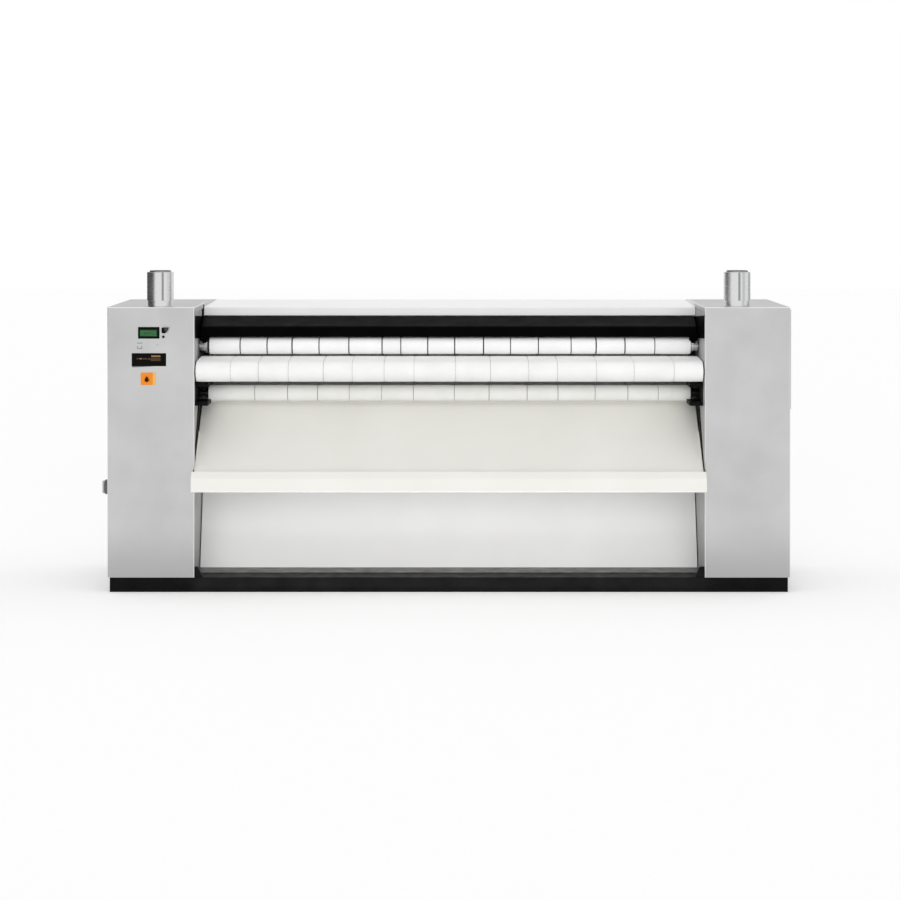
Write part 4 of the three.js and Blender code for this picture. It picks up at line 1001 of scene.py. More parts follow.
    def louvre(self, shape: Shape, x: float, face: float, top: float) -> None:
        """Adds one pressed louvre: a hood that is closed above and open below.

        Args:
            shape: The panel that gets it.
            x: The louvre's middle.
            face: The panel's outer face.
            top: The hood's upper end.
        """
        rings = []
        steps, turns = 8, 4
        root = face - self.louvre_root
        for k in range(steps + 1):
            share = -1 + 2 * k / steps
            reach = self.louvre_reach * (1 - abs(share) ** 4) + self.louvre_lip
            arc = [
                (root + reach * math.sin(math.pi / 2 * j / turns), top - self.louvre_rise * j / turns)
                for j in range(turns + 1)
            ]
            outline = [*arc, (root, top - self.louvre_rise)]
            rings.append([(x + share * self.louvre_half, y, z) for y, z in outline])
        shape.skin(rings)


@dataclass
class ExhaustStack:
    """The round stack on a cabinet: a collar, a sleeve with a lock seam, and an inner ring."""

    side: Side
    bore: float = 0.041
    spigot: float = 0.047
    collar: float = 0.0515
    # Degrees from the front to the lock seam, on the left stack and on the right one.
    seam_places: Span = (16.0, 3.0)
    seam_width: float = 9.0
    seam_proud: float = 0.0006
    seam_root: float = 0.0004
    seam_gap: float = 0.001
    collar_rise: float = 0.025
    sleeve: float = 0.055
    sleeve_rise: float = 0.1416
    ring: float = 0.044
    ring_depth: float = 0.01
    ring_rise: float = 0.0061
    fit: float = 0.0002
    chamfer: float = 0.0016

    def build(self) -> None:
        """Builds the stack."""
        word = self.side.word
        low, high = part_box(f"{word}_exhaust_stack")
        place = middle(f"{word}_exhaust_stack")
        base = high.z - self.sleeve_rise - self.ring_rise
        c = self.chamfer
        joint, brim = base + self.collar_rise, base + self.sleeve_rise
        profile = [
            (self.bore, low.z),
            (self.spigot, low.z),
            (self.spigot, base),
            (self.collar + 2 * c, base),
            (self.collar + 2 * c, base + c),
            (self.collar, base + 2 * c),
            (self.collar, joint),
            (self.sleeve - c / 4, joint),
            (self.sleeve, joint + c / 4),
            (self.sleeve, brim - c / 2),
            (self.sleeve - c / 2, brim),
            (self.ring, brim),
            (self.ring, brim - self.ring_depth),
            (self.bore, brim - self.ring_depth),
            (self.bore, low.z),
        ]
        centre = Vector((place.x, place.y, 0))
        stack = Shape().lathe(profile, centre, Axis.Z, 96)
        stack.piece(f"{word}_stack", STACK_STEEL, replaces=[f"{word}_exhaust_stack"])
        seat = brim - self.ring_depth + self.fit
        spigot = [
            (self.bore, seat),
            (self.ring - self.fit / 2, seat),
            (self.ring - self.fit / 2, high.z - c / 2),
            (self.ring - c / 2, high.z),
            (self.bore, high.z),
            (self.bore, seat),
        ]
        Shape().lathe(spigot, centre, Axis.Z, 96).piece(f"{word}_stack_spigot", ZINC)
        seam = self.lock_seam(centre, joint + self.seam_gap, brim - self.seam_gap)
        seam.piece(f"{word}_stack_seam", SEAM_STEEL)

    def lock_seam(self, centre: Vector, foot: float, top: float) -> Shape:
        """The flattened seam along the sleeve, a strip a little proud of it.

        Args:
            centre: The stack's middle.
            foot: The seam's lower end.
            top: Its upper end.

        Returns:
            The strip.
        """
        place = self.seam_places[0 if self.side is Side.LEFT else 1]
        angles = [math.radians(place + self.seam_width * (k / 4 - 0.5)) for k in range(5)]
        outline = []
        inner, outer = self.sleeve - self.seam_root, self.sleeve + self.seam_proud
        for radius, order in ((inner, angles), (outer, reversed(angles))):
            outline += [(centre.x + radius * math.sin(a), centre.y - radius * math.cos(a)) for a in order]
        return Shape().skin([[(x, y, z) for x, y in outline] for z in (foot, top)])


@dataclass
class TopCover:
    """The white cover over the drum: one sheet with a rear lip, a front lip, a return, and a black end seal
    at its left end that paints the shade of the slot beside the wall.
    """

    sheet: float = 0.002
    bend: float = 0.004
    lip: float = 0.037
    back_return: float = 0.015
    rear_lip: float = 0.0318
    rear_lift: float = 0.0026
    seal: float = 0.0075
    seal_rise: float = 0.01
    seal_drop: float = 0.004
    seal_ahead: float = 0.002
    seal_depth: float = 0.012
    seal_gap: float = 0.0003
    seal_edge: float = 0.001

    def build(self) -> None:
        """Builds the cover."""
        low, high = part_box("top_cover")
        line = [
            (high.y, high.z - self.rear_lip),
            (high.y, high.z + self.rear_lift),
            (low.y, low.z + self.lip),
            (low.y, low.z),
            (low.y + self.back_return, low.z),
        ]
        shape = Shape().prism(folded(line, self.sheet, self.bend), (low.x, high.x + self.seal))
        shape.piece("drum_cover", WHITE_ENAMEL, replaces=["top_cover"])
        # Painted shade: a black seal at the left end only, in front, standing in for the dark slot between
        # the cover and the wall.
        seal = Shape().box(
            Side.LEFT.span(high.x + self.seal_gap, high.x + self.seal),
            (low.y - self.seal_ahead, low.y + self.seal_depth),
            (low.z - self.seal_drop, low.z + self.lip + self.seal_rise),
        )
        seal.soften(self.seal_edge).piece("cover_end_shade_seal", RUBBER)


@dataclass
class FingerGuard:
    """The black guard over the press roller: a folded sheet with end plates, lugs and pins."""

    sheet: float = 0.003
    ahead: float = 0.008
    top_gap: float = 0.0023
    pivot_inset: float = 0.012
    lug_drop: float = 0.014
    end_gap: float = 0.0087
    lug_near: float = 0.0425
    lug_far: float = 0.0147
    lug_toe: float = 0.003
    lug_flare: Span = (0.001, 0.004)
    ear_foot: float = 0.015
    ear_low: float = 0.017
    ear_high: float = 0.003
    fold_back: float = 0.02
    fold_rise: float = 0.042
    fold_radius: float = 0.025
    hem_lift: float = 0.003
    pin: float = 0.005
    steps: int = 16

    def build(self) -> None:
        """Builds the guard."""
        low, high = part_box("finger_guard")
        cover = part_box("top_cover")[0]
        end = high.x - self.end_gap
        top = (cover.y - self.ahead, cover.z - self.top_gap)
        foot = (low.y, low.z + self.lug_drop + self.hem_lift)
        pivot = Vector((0, cover.y + self.pivot_inset, top[1] - self.pivot_inset))
        fold = (foot[0] + self.fold_back, foot[1] + self.fold_rise - self.hem_lift)
        face = rounded([top, fold, foot], self.fold_radius, self.steps)
        inner = beside(face, self.sheet)
        shape = Shape().prism([*face, *reversed(inner)], (-end, end))
        ear = [
            *face,
            (foot[0] + self.ear_foot, foot[1]),
            (high.y, pivot.z - self.ear_low),
            (high.y, pivot.z + self.ear_high),
        ]
        out, up = self.lug_flare
        rear = foot[0] + self.sheet
        lug = [
            (foot[0] + out, foot[1] + up),
            foot,
            (foot[0], low.z + self.lug_toe),
            (foot[0] + out, low.z),
            (rear, low.z),
            (rear, foot[1]),
            (rear + out, foot[1] + up),
        ]
        for side in Side:
            shape.prism(ear, side.span(end - self.sheet, end))
            shape.prism(lug, side.span(high.x - self.lug_near, high.x - self.lug_far))
            shape.disc(self.pin, side.span(end - self.sheet / 2, high.x), pivot, Axis.X)
        shape.piece("guard_sheet", GUARD_COAT, "finger_guard", ["finger_guard"])


@dataclass(frozen=True)
class Wheel:
    """A round that a belt runs over: its middle as Y and Z, its radius, and whether the belt bends back."""

    y: float
    z: float
    radius: float
    against: bool = False

    @classmethod
    def of(cls, node: str, against: bool = False) -> Wheel:
        """Reads a roller or the drum off the frame."""
        low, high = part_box(node)
        return cls((low.y + high.y) / 2, (low.z + high.z) / 2, (high.z - low.z) / 2, against)


@dataclass
class BeltBank:
    """A row of felt belts side by side on the same rollers."""

    node: str
    word: str
    wheels: list[Wheel]
    seam_shares: Sequence[float]
    finish: Finish
    gaps: Span
    seed: int
    insets: Span = (0.0, 0.0)
    felt: float = 0.003
    play: float = 0.0003
    edge: float = 0.001
    crown: float = 0.0004
    crown_share: float = 0.12
    thicker: float = 0.0002
    sway: float = 0.0002
    sway_step: float = 1.7
    arc_step: float = math.radians(7)

    def straight(self, start: Wheel, end: Wheel, radii: Span) -> float:
        """The direction of the straight run from one wheel to the next, as an angle."""
        across = Vector((end.y - start.y, end.z - start.z))
        return math.atan2(across.y, across.x) - math.asin((radii[1] - radii[0]) / across.length)

    def stations(self) -> list[tuple[Vector, Vector, float]]:
        """Places round the loop: a wheel's middle, the direction out of it and the sign of the radius.

        Returns:
            One entry for each place at which the belt's section is drawn.
        """
        whole = self.play + self.felt
        radii = [-(w.radius + whole + self.play) if w.against else w.radius + self.play for w in self.wheels]
        count = len(self.wheels)
        places = []
        for i, wheel in enumerate(self.wheels):
            before, after = (i - 1) % count, (i + 1) % count
            arrive = self.straight(self.wheels[before], wheel, (radii[before], radii[i]))
            leave = self.straight(wheel, self.wheels[after], (radii[i], radii[after]))
            sign = math.copysign(1, radii[i])
            swept = (sign * (leave - arrive)) % (2 * math.pi)
            steps = max(1, math.ceil(swept / self.arc_step))
            for k in range(steps + 1):
                angle = arrive - sign * math.pi / 2 + sign * swept * k / steps
                spoke = Vector((math.cos(angle), math.sin(angle)))
                hub = Vector((wheel.y, wheel.z)) + spoke * abs(radii[i])
                places.append((hub, spoke, sign))
        return places

    def build(self) -> None:
        """Builds the belts, each with edges that wander a little."""
        chance = random.Random(self.seed)
        low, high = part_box(self.node)
        start, end = low.x + self.insets[0], high.x - self.insets[1]
        cuts = [start, *(start + (end - start) * share for share in self.seam_shares), end]
        halves = [0.0, *(chance.uniform(*self.gaps) / 2 for _ in self.seam_shares), 0.0]
        stations = self.stations()
        shape = Shape()
        for k in range(len(cuts) - 1):
            ends = (cuts[k] + halves[k], cuts[k + 1] - halves[k + 1])
            lift = chance.uniform(-self.thicker, self.thicker)
            wave = chance.uniform(0, math.tau)
            rings = []
            for i, (hub, spoke, sign) in enumerate(stations):
                sway = self.sway * math.sin(wave + self.sway_step * i)
                section = self.section((ends[0] + sway, ends[1] + sway), lift)
                rings.append([(x, *(hub + spoke * (out * sign))) for x, out in section])
            shape.skin(rings, along=True)
        shape.piece(self.word, self.finish, replaces=[self.node], smooth=50)

    def section(self, ends: Span, lift: float) -> Line:
        """The belt's section as X values and heights over its inner face.

        Args:
            ends: The belt's two edges.
            lift: How much thicker this belt is.

        Returns:
            The closed section.
        """
        top = self.felt + lift
        c = self.edge
        x0, x1 = ends
        inset = (x1 - x0) * self.crown_share
        return [
            (x0 + c * 0.3, 0.0),
            (x0, c * 0.6),
            (x0, top - c),
            (x0 + c * 0.3, top - c * 0.35),
            (x0 + c, top),
            (x0 + inset, top + self.crown),
            (x1 - inset, top + self.crown),
            (x1 - c, top),
            (x1 - c * 0.3, top - c * 0.35),
            (x1, top - c),
            (x1, c * 0.6),
            (x1 - c * 0.3, 0.0),
        ]


@dataclass
class RollerSet:
    """The eight rollers: tubes with hubs and stubs, each on its own joint."""

    machine: Machine
    hub_share: float = 0.77
    stub: float = 0.01
    chamfer: float = 0.0012
    shade_lagging: float = 0.00015
    shade_lagging_inset: float = 0.004
    lining: float = 0.004
    feed_inset: float = 0.012
    tube_inset: float = 0.033
    shortest_hub: float = 0.01
    groove_share: float = 0.45

    # The hub's groove: shares of the hub's radius, and places along the hub.
    GROOVE = ((1.0, 0.004), (0.86, 0.003), (0.86, -0.001), (1.0, -0.002))
    NODES = (
        "press_roller",
        "rear_top_roller",
        "rear_bottom_roller",
        "turn_roller",
        "outfeed_front_roller",
        "outfeed_rear_roller",
        "feed_nose_roller",
        "feed_rear_roller",
    )
    LAGGED = "press_roller"
    FINISHES = {
        "feed": TURNED_STEEL,
        "outfeed": BLACK_GLOSS,
        "press": ROLLER_STEEL,
        "turn": ROLLER_STEEL,
        "rear": ROLLER_STEEL,
    }

    def build(self) -> None:
        """Builds each roller."""
        for node in self.NODES:
            self.roller(node)

    def roller(self, node: str) -> None:
        """Builds one roller with a ringed hub at each end.

        Args:
            node: The roller's node and body.
        """
        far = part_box(node)[1].x
        wheel = Wheel.of(node)
        lining = self.machine.wall - self.lining
        half = self.machine.wall - (self.feed_inset if node.startswith("feed") else self.tube_inset)
        hub, c = wheel.radius * self.hub_share, self.chamfer
        profile = [(0.0, far), (self.stub, far), (self.stub, lining), (hub - c, lining)]
        if lining - half > self.shortest_hub:
            groove = half + (lining - half) * self.groove_share
            ring = [(hub * share, groove + place) for share, place in self.GROOVE]
            profile += [(hub, lining - c), *ring]
        profile += [(hub, half + c), (wheel.radius - c, half), (wheel.radius, half - c)]
        mirrored = [(radius, -place) for radius, place in reversed(profile)]
        centre = Vector((0, wheel.y, wheel.z))
        shape = Shape().lathe([*profile, *mirrored], centre, Axis.X, 64)
        shape.piece(f"{node}_tube", self.FINISHES[node.split("_")[0]], node, [node])
        if node == self.LAGGED:
            self.skin(wheel, half)

    def skin(self, wheel: Wheel, half: float) -> None:
        """The dark rubber lagging on the press roller, which paints the shade in the gaps between the belts.

        Args:
            wheel: The roller's round.
            half: Half of the tube's length.
        """
        ends = (self.shade_lagging_inset - half, half - self.shade_lagging_inset)
        skin = self.shade_lagging
        tube = [
            (wheel.radius, ends[0]),
            (wheel.radius + skin, ends[0] + skin),
            (wheel.radius + skin, ends[1] - skin),
            (wheel.radius, ends[1]),
            (wheel.radius - skin, ends[1]),
            (wheel.radius - skin, ends[0]),
            (wheel.radius, ends[0]),
        ]
        shade_lagging = Shape().lathe(tube, Vector((0, wheel.y, wheel.z)), Axis.X, 64)
        shade_lagging.piece(f"{self.LAGGED}_lagging", SHADE_LAGGING, self.LAGGED)


@dataclass
class LinenTray:
    """The cream tray: a rolled hem, a chute between end rims, and a trough with a bevelled lip."""

    sheet: float = 0.003
    bend: float = 0.005
    hem: float = 0.006
    hem_back: float = 0.019
    hem_drop: float = 0.026
    chute_fall: float = 0.324
    knee_in: float = 0.064
    bottom_fall: float = 0.003
    lip: float = 0.051
    bevel: float = 0.03
    bevel_rise: float = 0.025
    rim: float = 0.012
    rim_sheet: float = 0.003
    rim_edge: float = 0.0008
    shade_seal_widths: Span = (0.0083, 0.0035)
    seal_rise: float = 0.0137
    seal_gap: float = 0.0004
    seal_edge: float = 0.0007

    def line(self) -> Line:
        """The tray's upper face from behind to the front."""
        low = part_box("linen_tray")[0]
        rear = middle("outfeed_rear_roller")
        hem = (rear.y + self.hem_back, rear.z - self.hem_drop)
        knee = (low.y + self.knee_in, hem[1] - self.chute_fall)
        foot = knee[1] - self.bottom_fall
        front = low.y + self.sheet
        brim = (front - self.sheet + self.bevel, foot + self.lip + self.bevel_rise)
        return [hem, knee, (front, foot), (front, foot + self.lip), brim]

    def build(self) -> None:
        """Builds the tray."""
        low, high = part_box("linen_tray")
        line = self.line()
        shape = Shape().prism(folded(line, self.sheet, self.bend), (low.x, high.x))
        shape.disc(self.hem, (low.x, high.x), Vector((0, *line[0])), Axis.X, 24)
        shape.piece("tray_sheet", CREAM_ENAMEL, replaces=["linen_tray"])
        rims = Shape()
        middle_line = beside(line, self.sheet / 2)
        back = [*reversed(beside(line[:2], -self.rim))]
        for side in Side:
            rims.prism([*middle_line, *back], side.span(high.x - self.rim_sheet, high.x))
        rims.soften(self.rim_edge).piece("tray_end_rims", CREAM_ENAMEL)
        # Painted shade: the dark trims, narrower towards the knee, stand in for the shade in the gap between
        # chute and wall.
        self.seals(line[0], line[1]).piece("chute_shade_seals", RUBBER)

    def seals(self, hem: tuple[float, float], knee: tuple[float, float]) -> Shape:
        """The dark rubber trims over the chute's rims, which close its gap to the walls. Their tapering
        width paints the shade in that gap.

        Args:
            hem: The chute's upper end.
            knee: Its lower end.

        Returns:
            Both strips, narrower towards the knee.
        """
        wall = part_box("right_guard_cheek")[1].x - self.seal_gap
        under = beside([hem, knee], self.sheet)
        over = beside([hem, knee], -self.seal_rise)
        made = Shape()
        for side in Side:
            rings = []
            for k, width in enumerate(self.shade_seal_widths):
                near, far = side.value * (wall - width), side.value * wall
                rings.append([(near, *under[k]), (far, *under[k]), (far, *over[k]), (near, *over[k])])
            made.skin(rings)
        return made.soften(self.seal_edge)


@dataclass
class LowerBody:
    """The inclined panel at the front and the cover at the back, both between the cabinets."""

    machine: Machine
    sheet: float = 0.002
    bend: float = 0.004
    top_gap: float = 0.004
    top_return: float = 0.01
    rear_recess: float = 0.004
    screw_inset: float = 0.02
    edge: float = 0.0006

    def build(self) -> None:
        """Builds the inclined panel and the rear cover with its screws."""
        m = self.machine
        low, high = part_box("lower_front_panel")
        top = high.z - self.top_gap
        line = [(low.y, low.z), (high.y - self.sheet, top), (high.y + self.top_return, top)]
        panel = Shape().prism(folded(line, -self.sheet, self.bend), (low.x, high.x))
        panel.piece("inclined_panel", WHITE_ENAMEL, replaces=["lower_front_panel"])
        low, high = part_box("centre_rear_panel")
        face = m.back - self.rear_recess
        shape = Shape().box((low.x, high.x), (face - self.sheet, face), (low.z, high.z)).soften(self.edge)
        shape.piece("rear_cover", STAINLESS, replaces=["centre_rear_panel"])
        inset = self.screw_inset
        columns = [low.x + inset + i * (high.x - low.x - 2 * inset) / 8 for i in range(9)]
        places = [(z, x) for x in columns for z in (low.z + inset, high.z - inset)]
        screws(places, face, Axis.Y, 1).piece("rear_cover_screws", TURNED_STEEL)


@dataclass
class ControlPanel:
    """The controls on the front of the left cabinet.

    Pairs are X first, then Z. Depths count from the face behind, and those in front of it are below zero.
    """

    machine: Machine
    joints: list[dict]
    seat: float = 0.0001
    overrun: float = 0.01
    glass_gap: float = 0.0003
    glass_edge: float = 0.0005
    bezel_edge: float = 0.002
    border_top: float = 0.004
    border_side: float = 0.003
    border_foot: float = 0.002
    border_depths: Span = (-0.0002, 0.0001)
    figure_field: Span = (0.002, 0.001)
    figure_grid: tuple[int, int] = (4, 14)
    figure_size: Span = (0.0024, 0.0022)
    figure_start: Span = (0.0035, 0.003)
    figure_margins: Span = (0.006, 0.004)
    figure_stroke: float = 0.0007
    figure_proud: float = 0.0001
    shaft: float = 0.003
    shaft_root: float = 0.001
    grip_root: float = 0.0095
    grip_edge: float = 0.0008
    wing_proud: float = 0.0004
    cap_chamfer: float = 0.0012
    cap_dish: float = 0.0004
    marks_inset: float = 0.0225
    marks_top: float = 1.023
    marks_depths: Span = (-0.00015, 0.0002)
    tick: tuple[Span, Span] = ((-0.0085, -0.0065), (-0.006, 0.004))
    rivet: Span = (-1.19, 1.011)
    rivet_radius: float = 0.0028
    name_edge: float = 0.0012
    bar_depths: Span = (-0.00012, 0.0002)
    shadow_strip_sunk: float = 0.0006
    plate_corner: float = 0.0035
    plate_edge: float = 0.0006
    plate_bore: float = 0.0065
    split: float = 0.8
    highlight_strip_corner: float = 0.002
    highlight_strip_sunk: float = 0.0004
    stop_head: float = 0.003
    stop_edge: float = 0.0008
    stop_stem: float = 0.006
    stop_stem_root: float = 0.0028

    # The strokes that each figure from 0 to 9 lights, and where each stroke runs.
    LIT = ("abcdef", "bc", "abdeg", "abcdg", "bcfg", "acdfg", "acdefg", "abc", "abcdefg", "abcdfg")
    STROKES = {
        "a": ((0, 2), (1, 2)),
        "b": ((1, 1), (1, 2)),
        "c": ((1, 0), (1, 1)),
        "d": ((0, 0), (1, 0)),
        "e": ((0, 0), (0, 1)),
        "f": ((0, 1), (0, 2)),
        "g": ((0, 1), (1, 1)),
    }
    # The selector: its skirt by radius and height over the front, and the outlines of its grip and wing.
    SKIRT = (
        (0.0, 0.0003),
        (0.0095, 0.0003),
        (0.011, 0.001),
        (0.011, 0.004),
        (0.0098, 0.0055),
        (0.009, 0.011),
        (0.008, 0.0123),
        (0.0, 0.0123),
    )
    GRIP = ((-0.0095, 0.0118), (0.0125, 0.0125), (0.0095, -0.0075), (0.004, -0.0115), (-0.0085, -0.0105))
    WING = (
        (0.0015, 0.0098),
        (0.0035, 0.0122),
        (0.0195, 0.0126),
        (0.0185, 0.006),
        (0.0105, -0.0072),
        (0.0025, 0.0),
    )
    # The start button's ring, beyond the cap's radius and over the front.
    RING = ((0.0004, 0.0), (0.0028, 0.0), (0.0024, 0.0014), (0.0006, 0.0018), (0.0004, 0.0))
    # The printed marks, to the right of their corner and below it.
    MARKS = (
        ((0.0, 0.0034), (0.0085, 0.0025)),
        ((0.0055, 0.0089), (0.0085, 0.0025)),
        ((0.011, 0.0144), (0.0085, 0.0025)),
        ((0.0165, 0.0199), (0.0085, 0.0025)),
        ((-0.001, 0.0035), (0.0235, 0.018)),
        ((0.0155, 0.0205), (0.0235, 0.018)),
        ((-0.0015, 0.021), (0.0295, 0.0255)),
    )
    # The grey strip under the name plate's foot, a painted shadow, from the plate's lower left corner, and
    # the plate's bars in shares of the plate.
    FOOT_SHADOW = ((0.001, 0.001), (0.003, -0.005), (0.09, -0.0005), (0.09, 0.001))
    AMBER_BARS = (((0.57, 0.835), (0.7, 0.835)), ((0.22, 0.3), (0.53, 0.62)))
    BROWN_BARS = (
        ((0.14, 0.2), (0.53, 0.63)),
        ((0.32, 0.45), (0.52, 0.63)),
        ((0.47, 0.54), (0.5, 0.63)),
        ((0.55, 0.84), (0.4, 0.63)),
    )

    def build(self) -> None:
        """Builds display, knob, buttons, plates and marks."""
        self.display()
        self.selector()
        self.start()
        self.marks()
        self.name_plate()
        self.stop()

    def display(self) -> None:
        """The display: a bezel with a rounded frame, a lit panel and four rows of segments."""
        low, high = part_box("display_bezel")
        glass = spans("display_window")
        across, (face, rear), heights = glass
        back = self.machine.front - self.seat
        shape = Shape().box((low.x, high.x), (low.y, back), (low.z, high.z)).soften(self.bezel_edge, 3)
        gap = self.glass_gap
        window = Shape().box(
            (across[0] - gap, across[1] + gap),
            (low.y - self.overrun, rear),
            (heights[0] - gap, heights[1] + gap),
        )
        shape.cut(window).piece("display_frame", BLACK_PLASTIC, replaces=["display_bezel"])
        panel = Shape().box(*glass).soften(self.glass_edge)
        panel.piece("display_panel", DISPLAY_GREEN, replaces=["display_window"])
        depths = shifted(self.border_depths, face)
        foot, top = heights[0] + self.border_foot, heights[1] - self.border_top
        border = Shape()
        border.box(across, depths, (top, heights[1]))
        border.box(across, depths, (heights[0], foot))
        border.box((across[1] - self.border_side, across[1]), depths, (foot, top))
        border.piece("display_border", DISPLAY_BORDER)
        beside_field, under_field = self.figure_field
        field = (across[0], across[1] - beside_field), (heights[0] + under_field, top)
        self.segments(*field, face).piece("display_segments", DISPLAY_INK)

    def segments(self, field: Span, heights: Span, face: float) -> Shape:
        """Four rows of plain seven-segment figures.

        Args:
            field: The field's two ends in X.
            heights: Its foot and its top.
            face: The panel's face.

        Returns:
            The figures.
        """
        rows, columns = self.figure_grid
        wide, tall = self.figure_size
        half = self.figure_stroke / 2
        pitch_x = (field[1] - field[0] - self.figure_margins[0]) / columns
        pitch_z = (heights[1] - heights[0] - self.figure_margins[1]) / rows
        depths = (face - self.figure_proud, face + self.figure_proud)
        shape = Shape()
        for row in range(rows):
            for column in range(columns):
                if (column + 3 * row) % 7 == 6:
                    continue
                x = field[0] + self.figure_start[0] + column * pitch_x
                z = heights[0] + self.figure_start[1] + (rows - 1 - row) * pitch_z
                for name in self.LIT[(column * 3 + row) % 10]:
                    (x0, z0), (x1, z1) = self.STROKES[name]
                    across = (x + x0 * wide - half, x + x1 * wide + half)
                    shape.box(across, depths, (z + z0 * tall - half, z + z1 * tall + half))
        return shape

    def selector(self) -> None:
        """The selector: a round skirt, a blocky grip, and a grey wing that points to the setting."""
        body = "selector_knob"
        low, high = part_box(body)
        front = self.machine.front
        axis = next(joint for joint in self.joints if joint["child"] == body)["pos_m"]
        centre = Vector((axis[0], 0, axis[2]))
        skirt = [(radius, front - proud) for radius, proud in self.SKIRT]
        shape = Shape().lathe(skirt, centre, Axis.Y, 48)
        shape.disc(self.shaft, (front - self.shaft_root, high.y), centre, Axis.Y, 24)
        shape.piece("selector_skirt", BLACK_PLASTIC, body, [body])
        place = Vector((centre.x, centre.z))
        for name, outline, face, finish in (
            ("selector_grip", self.GRIP, low.y, BLACK_PLASTIC),
            ("selector_wing", self.WING, low.y - self.wing_proud, WING_PLASTIC),
        ):
            corners = [tuple(place + Vector(corner)) for corner in outline]
            block = Shape().slab(corners, (face, front - self.grip_root)).soften(self.grip_edge)
            block.piece(name, finish, body)

    def start(self) -> None:
        """The start button: a pale ring on the cabinet round a dark cap."""
        body = "start_button"
        low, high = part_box(body)
        button = middle(body)
        centre = Vector((button.x, 0, button.z))
        radius = (high.x - low.x) / 2
        cap = [
            (0.0, high.y),
            (radius, high.y),
            (radius, low.y + self.cap_chamfer),
            (radius - self.cap_chamfer, low.y),
            (0.0, low.y + self.cap_dish),
        ]
        Shape().lathe(cap, centre, Axis.Y, 40).piece("start_cap", BLACK_PLASTIC, body, [body])
        ring = [(radius + out, self.machine.front - proud) for out, proud in self.RING]
        Shape().lathe(ring, centre, Axis.Y, 40).piece("start_ring", PALE_PLASTIC)

    def marks(self) -> None:
        """Plain printed marks below the display, a tick at the start button and one rivet."""
        front = self.machine.front
        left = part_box("name_plate")[0].x + self.marks_inset
        depths = shifted(self.marks_depths, front)
        shape = Shape()
        for across, (foot, head) in self.MARKS:
            shape.box(shifted(across, left), depths, (self.marks_top - foot, self.marks_top - head))
        shape.piece("printed_marks", GREY_INK)
        button = middle("start_button")
        beside_button, along_button = self.tick
        tick = Shape().box(shifted(beside_button, button.x), depths, shifted(along_button, button.z))
        tick.piece("start_tick", PALE_PLASTIC)
        rivet = screws([self.rivet[::-1]], front, Axis.Y, -1, self.rivet_radius)
        rivet.piece("front_rivet", TURNED_STEEL)

    def name_plate(self) -> None:
        """A dark plate with plain amber and brown bars, and no words."""
        low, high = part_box("name_plate")
        back = high.y - self.seat
        plate = Shape().box((low.x, high.x), (low.y, back), (low.z, high.z)).soften(self.name_edge, 3)
        plate.piece("maker_plate_blank", BLACK_PLASTIC, replaces=["name_plate"])
        # Painted shadow: a grey strip below the plate's foot, deeper at its left, for the shade that the
        # plate casts on the front.
        outline = [(low.x + x, low.z + z) for x, z in self.FOOT_SHADOW]
        Shape().slab(outline, (low.y + self.shadow_strip_sunk, back)).piece("plate_foot_shadow_strip", GREY_PLASTIC)
        depths = shifted(self.bar_depths, low.y)
        width, tall = high.x - low.x, high.z - low.z
        for name, bars, finish in (
            ("plate_bars_amber", self.AMBER_BARS, AMBER_INK),
            ("plate_bars_brown", self.BROWN_BARS, BROWN_INK),
        ):
            shape = Shape()
            for (start, end), (foot, head) in bars:
                across = (low.x + width * start, low.x + width * end)
                shape.box(across, depths, (low.z + tall * foot, low.z + tall * head))
            shape.piece(name, finish)

    def stop(self) -> None:
        """The orange stop plate with a lighter strip at its right end, a painted highlight, and its dark red
        pointed button.
        """
        low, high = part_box("stop_plate")
        split = low.x + (high.x - low.x) * self.split
        face, back = low.y, high.y - self.seat
        head_low, head_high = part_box("stop_button")
        radius = (head_high.x - head_low.x) / 2
        centre = Vector((middle("stop_button").x, 0, head_low.z + radius))
        ends = (low.y - self.overrun, high.y + self.overrun)
        tool = Shape().disc(self.plate_bore, ends, centre, Axis.Y, 32)
        left = [(split, low.z), (low.x, low.z), (low.x, high.z), (split, high.z)]
        plate = Shape().slab(rounded(left, self.plate_corner), (face, back)).soften(self.plate_edge, 2)
        plate.cut(tool).piece("stop_plate_orange", ORANGE_PLASTIC, replaces=["stop_plate"])
        # Painted highlight: the lighter strip at the plate's right end stands for the gloss that lightens it
        # there.
        near = split + self.seat
        right = [(near, high.z), (high.x, high.z), (high.x, low.z), (near, low.z)]
        strip = Shape().slab(rounded(right, self.highlight_strip_corner), (face + self.highlight_strip_sunk, back))
        strip.soften(self.plate_edge, 2).piece("stop_plate_highlight_strip", ORANGE_HIGHLIGHT_PLASTIC)
        arc = [math.radians(135 + 270 * k / 24) for k in range(25)]
        outline = [(centre.x + radius * math.cos(a), centre.z + radius * math.sin(a)) for a in arc]
        outline.append((centre.x, head_high.z))
        head = Shape().slab(outline, (head_low.y, head_low.y + self.stop_head)).soften(self.stop_edge, 3)
        head.disc(self.stop_stem, (head_low.y + self.stop_stem_root, head_high.y), centre, Axis.Y, 32)
        head.piece("stop_cap", RED_PLASTIC, "stop_button", ["stop_button"])


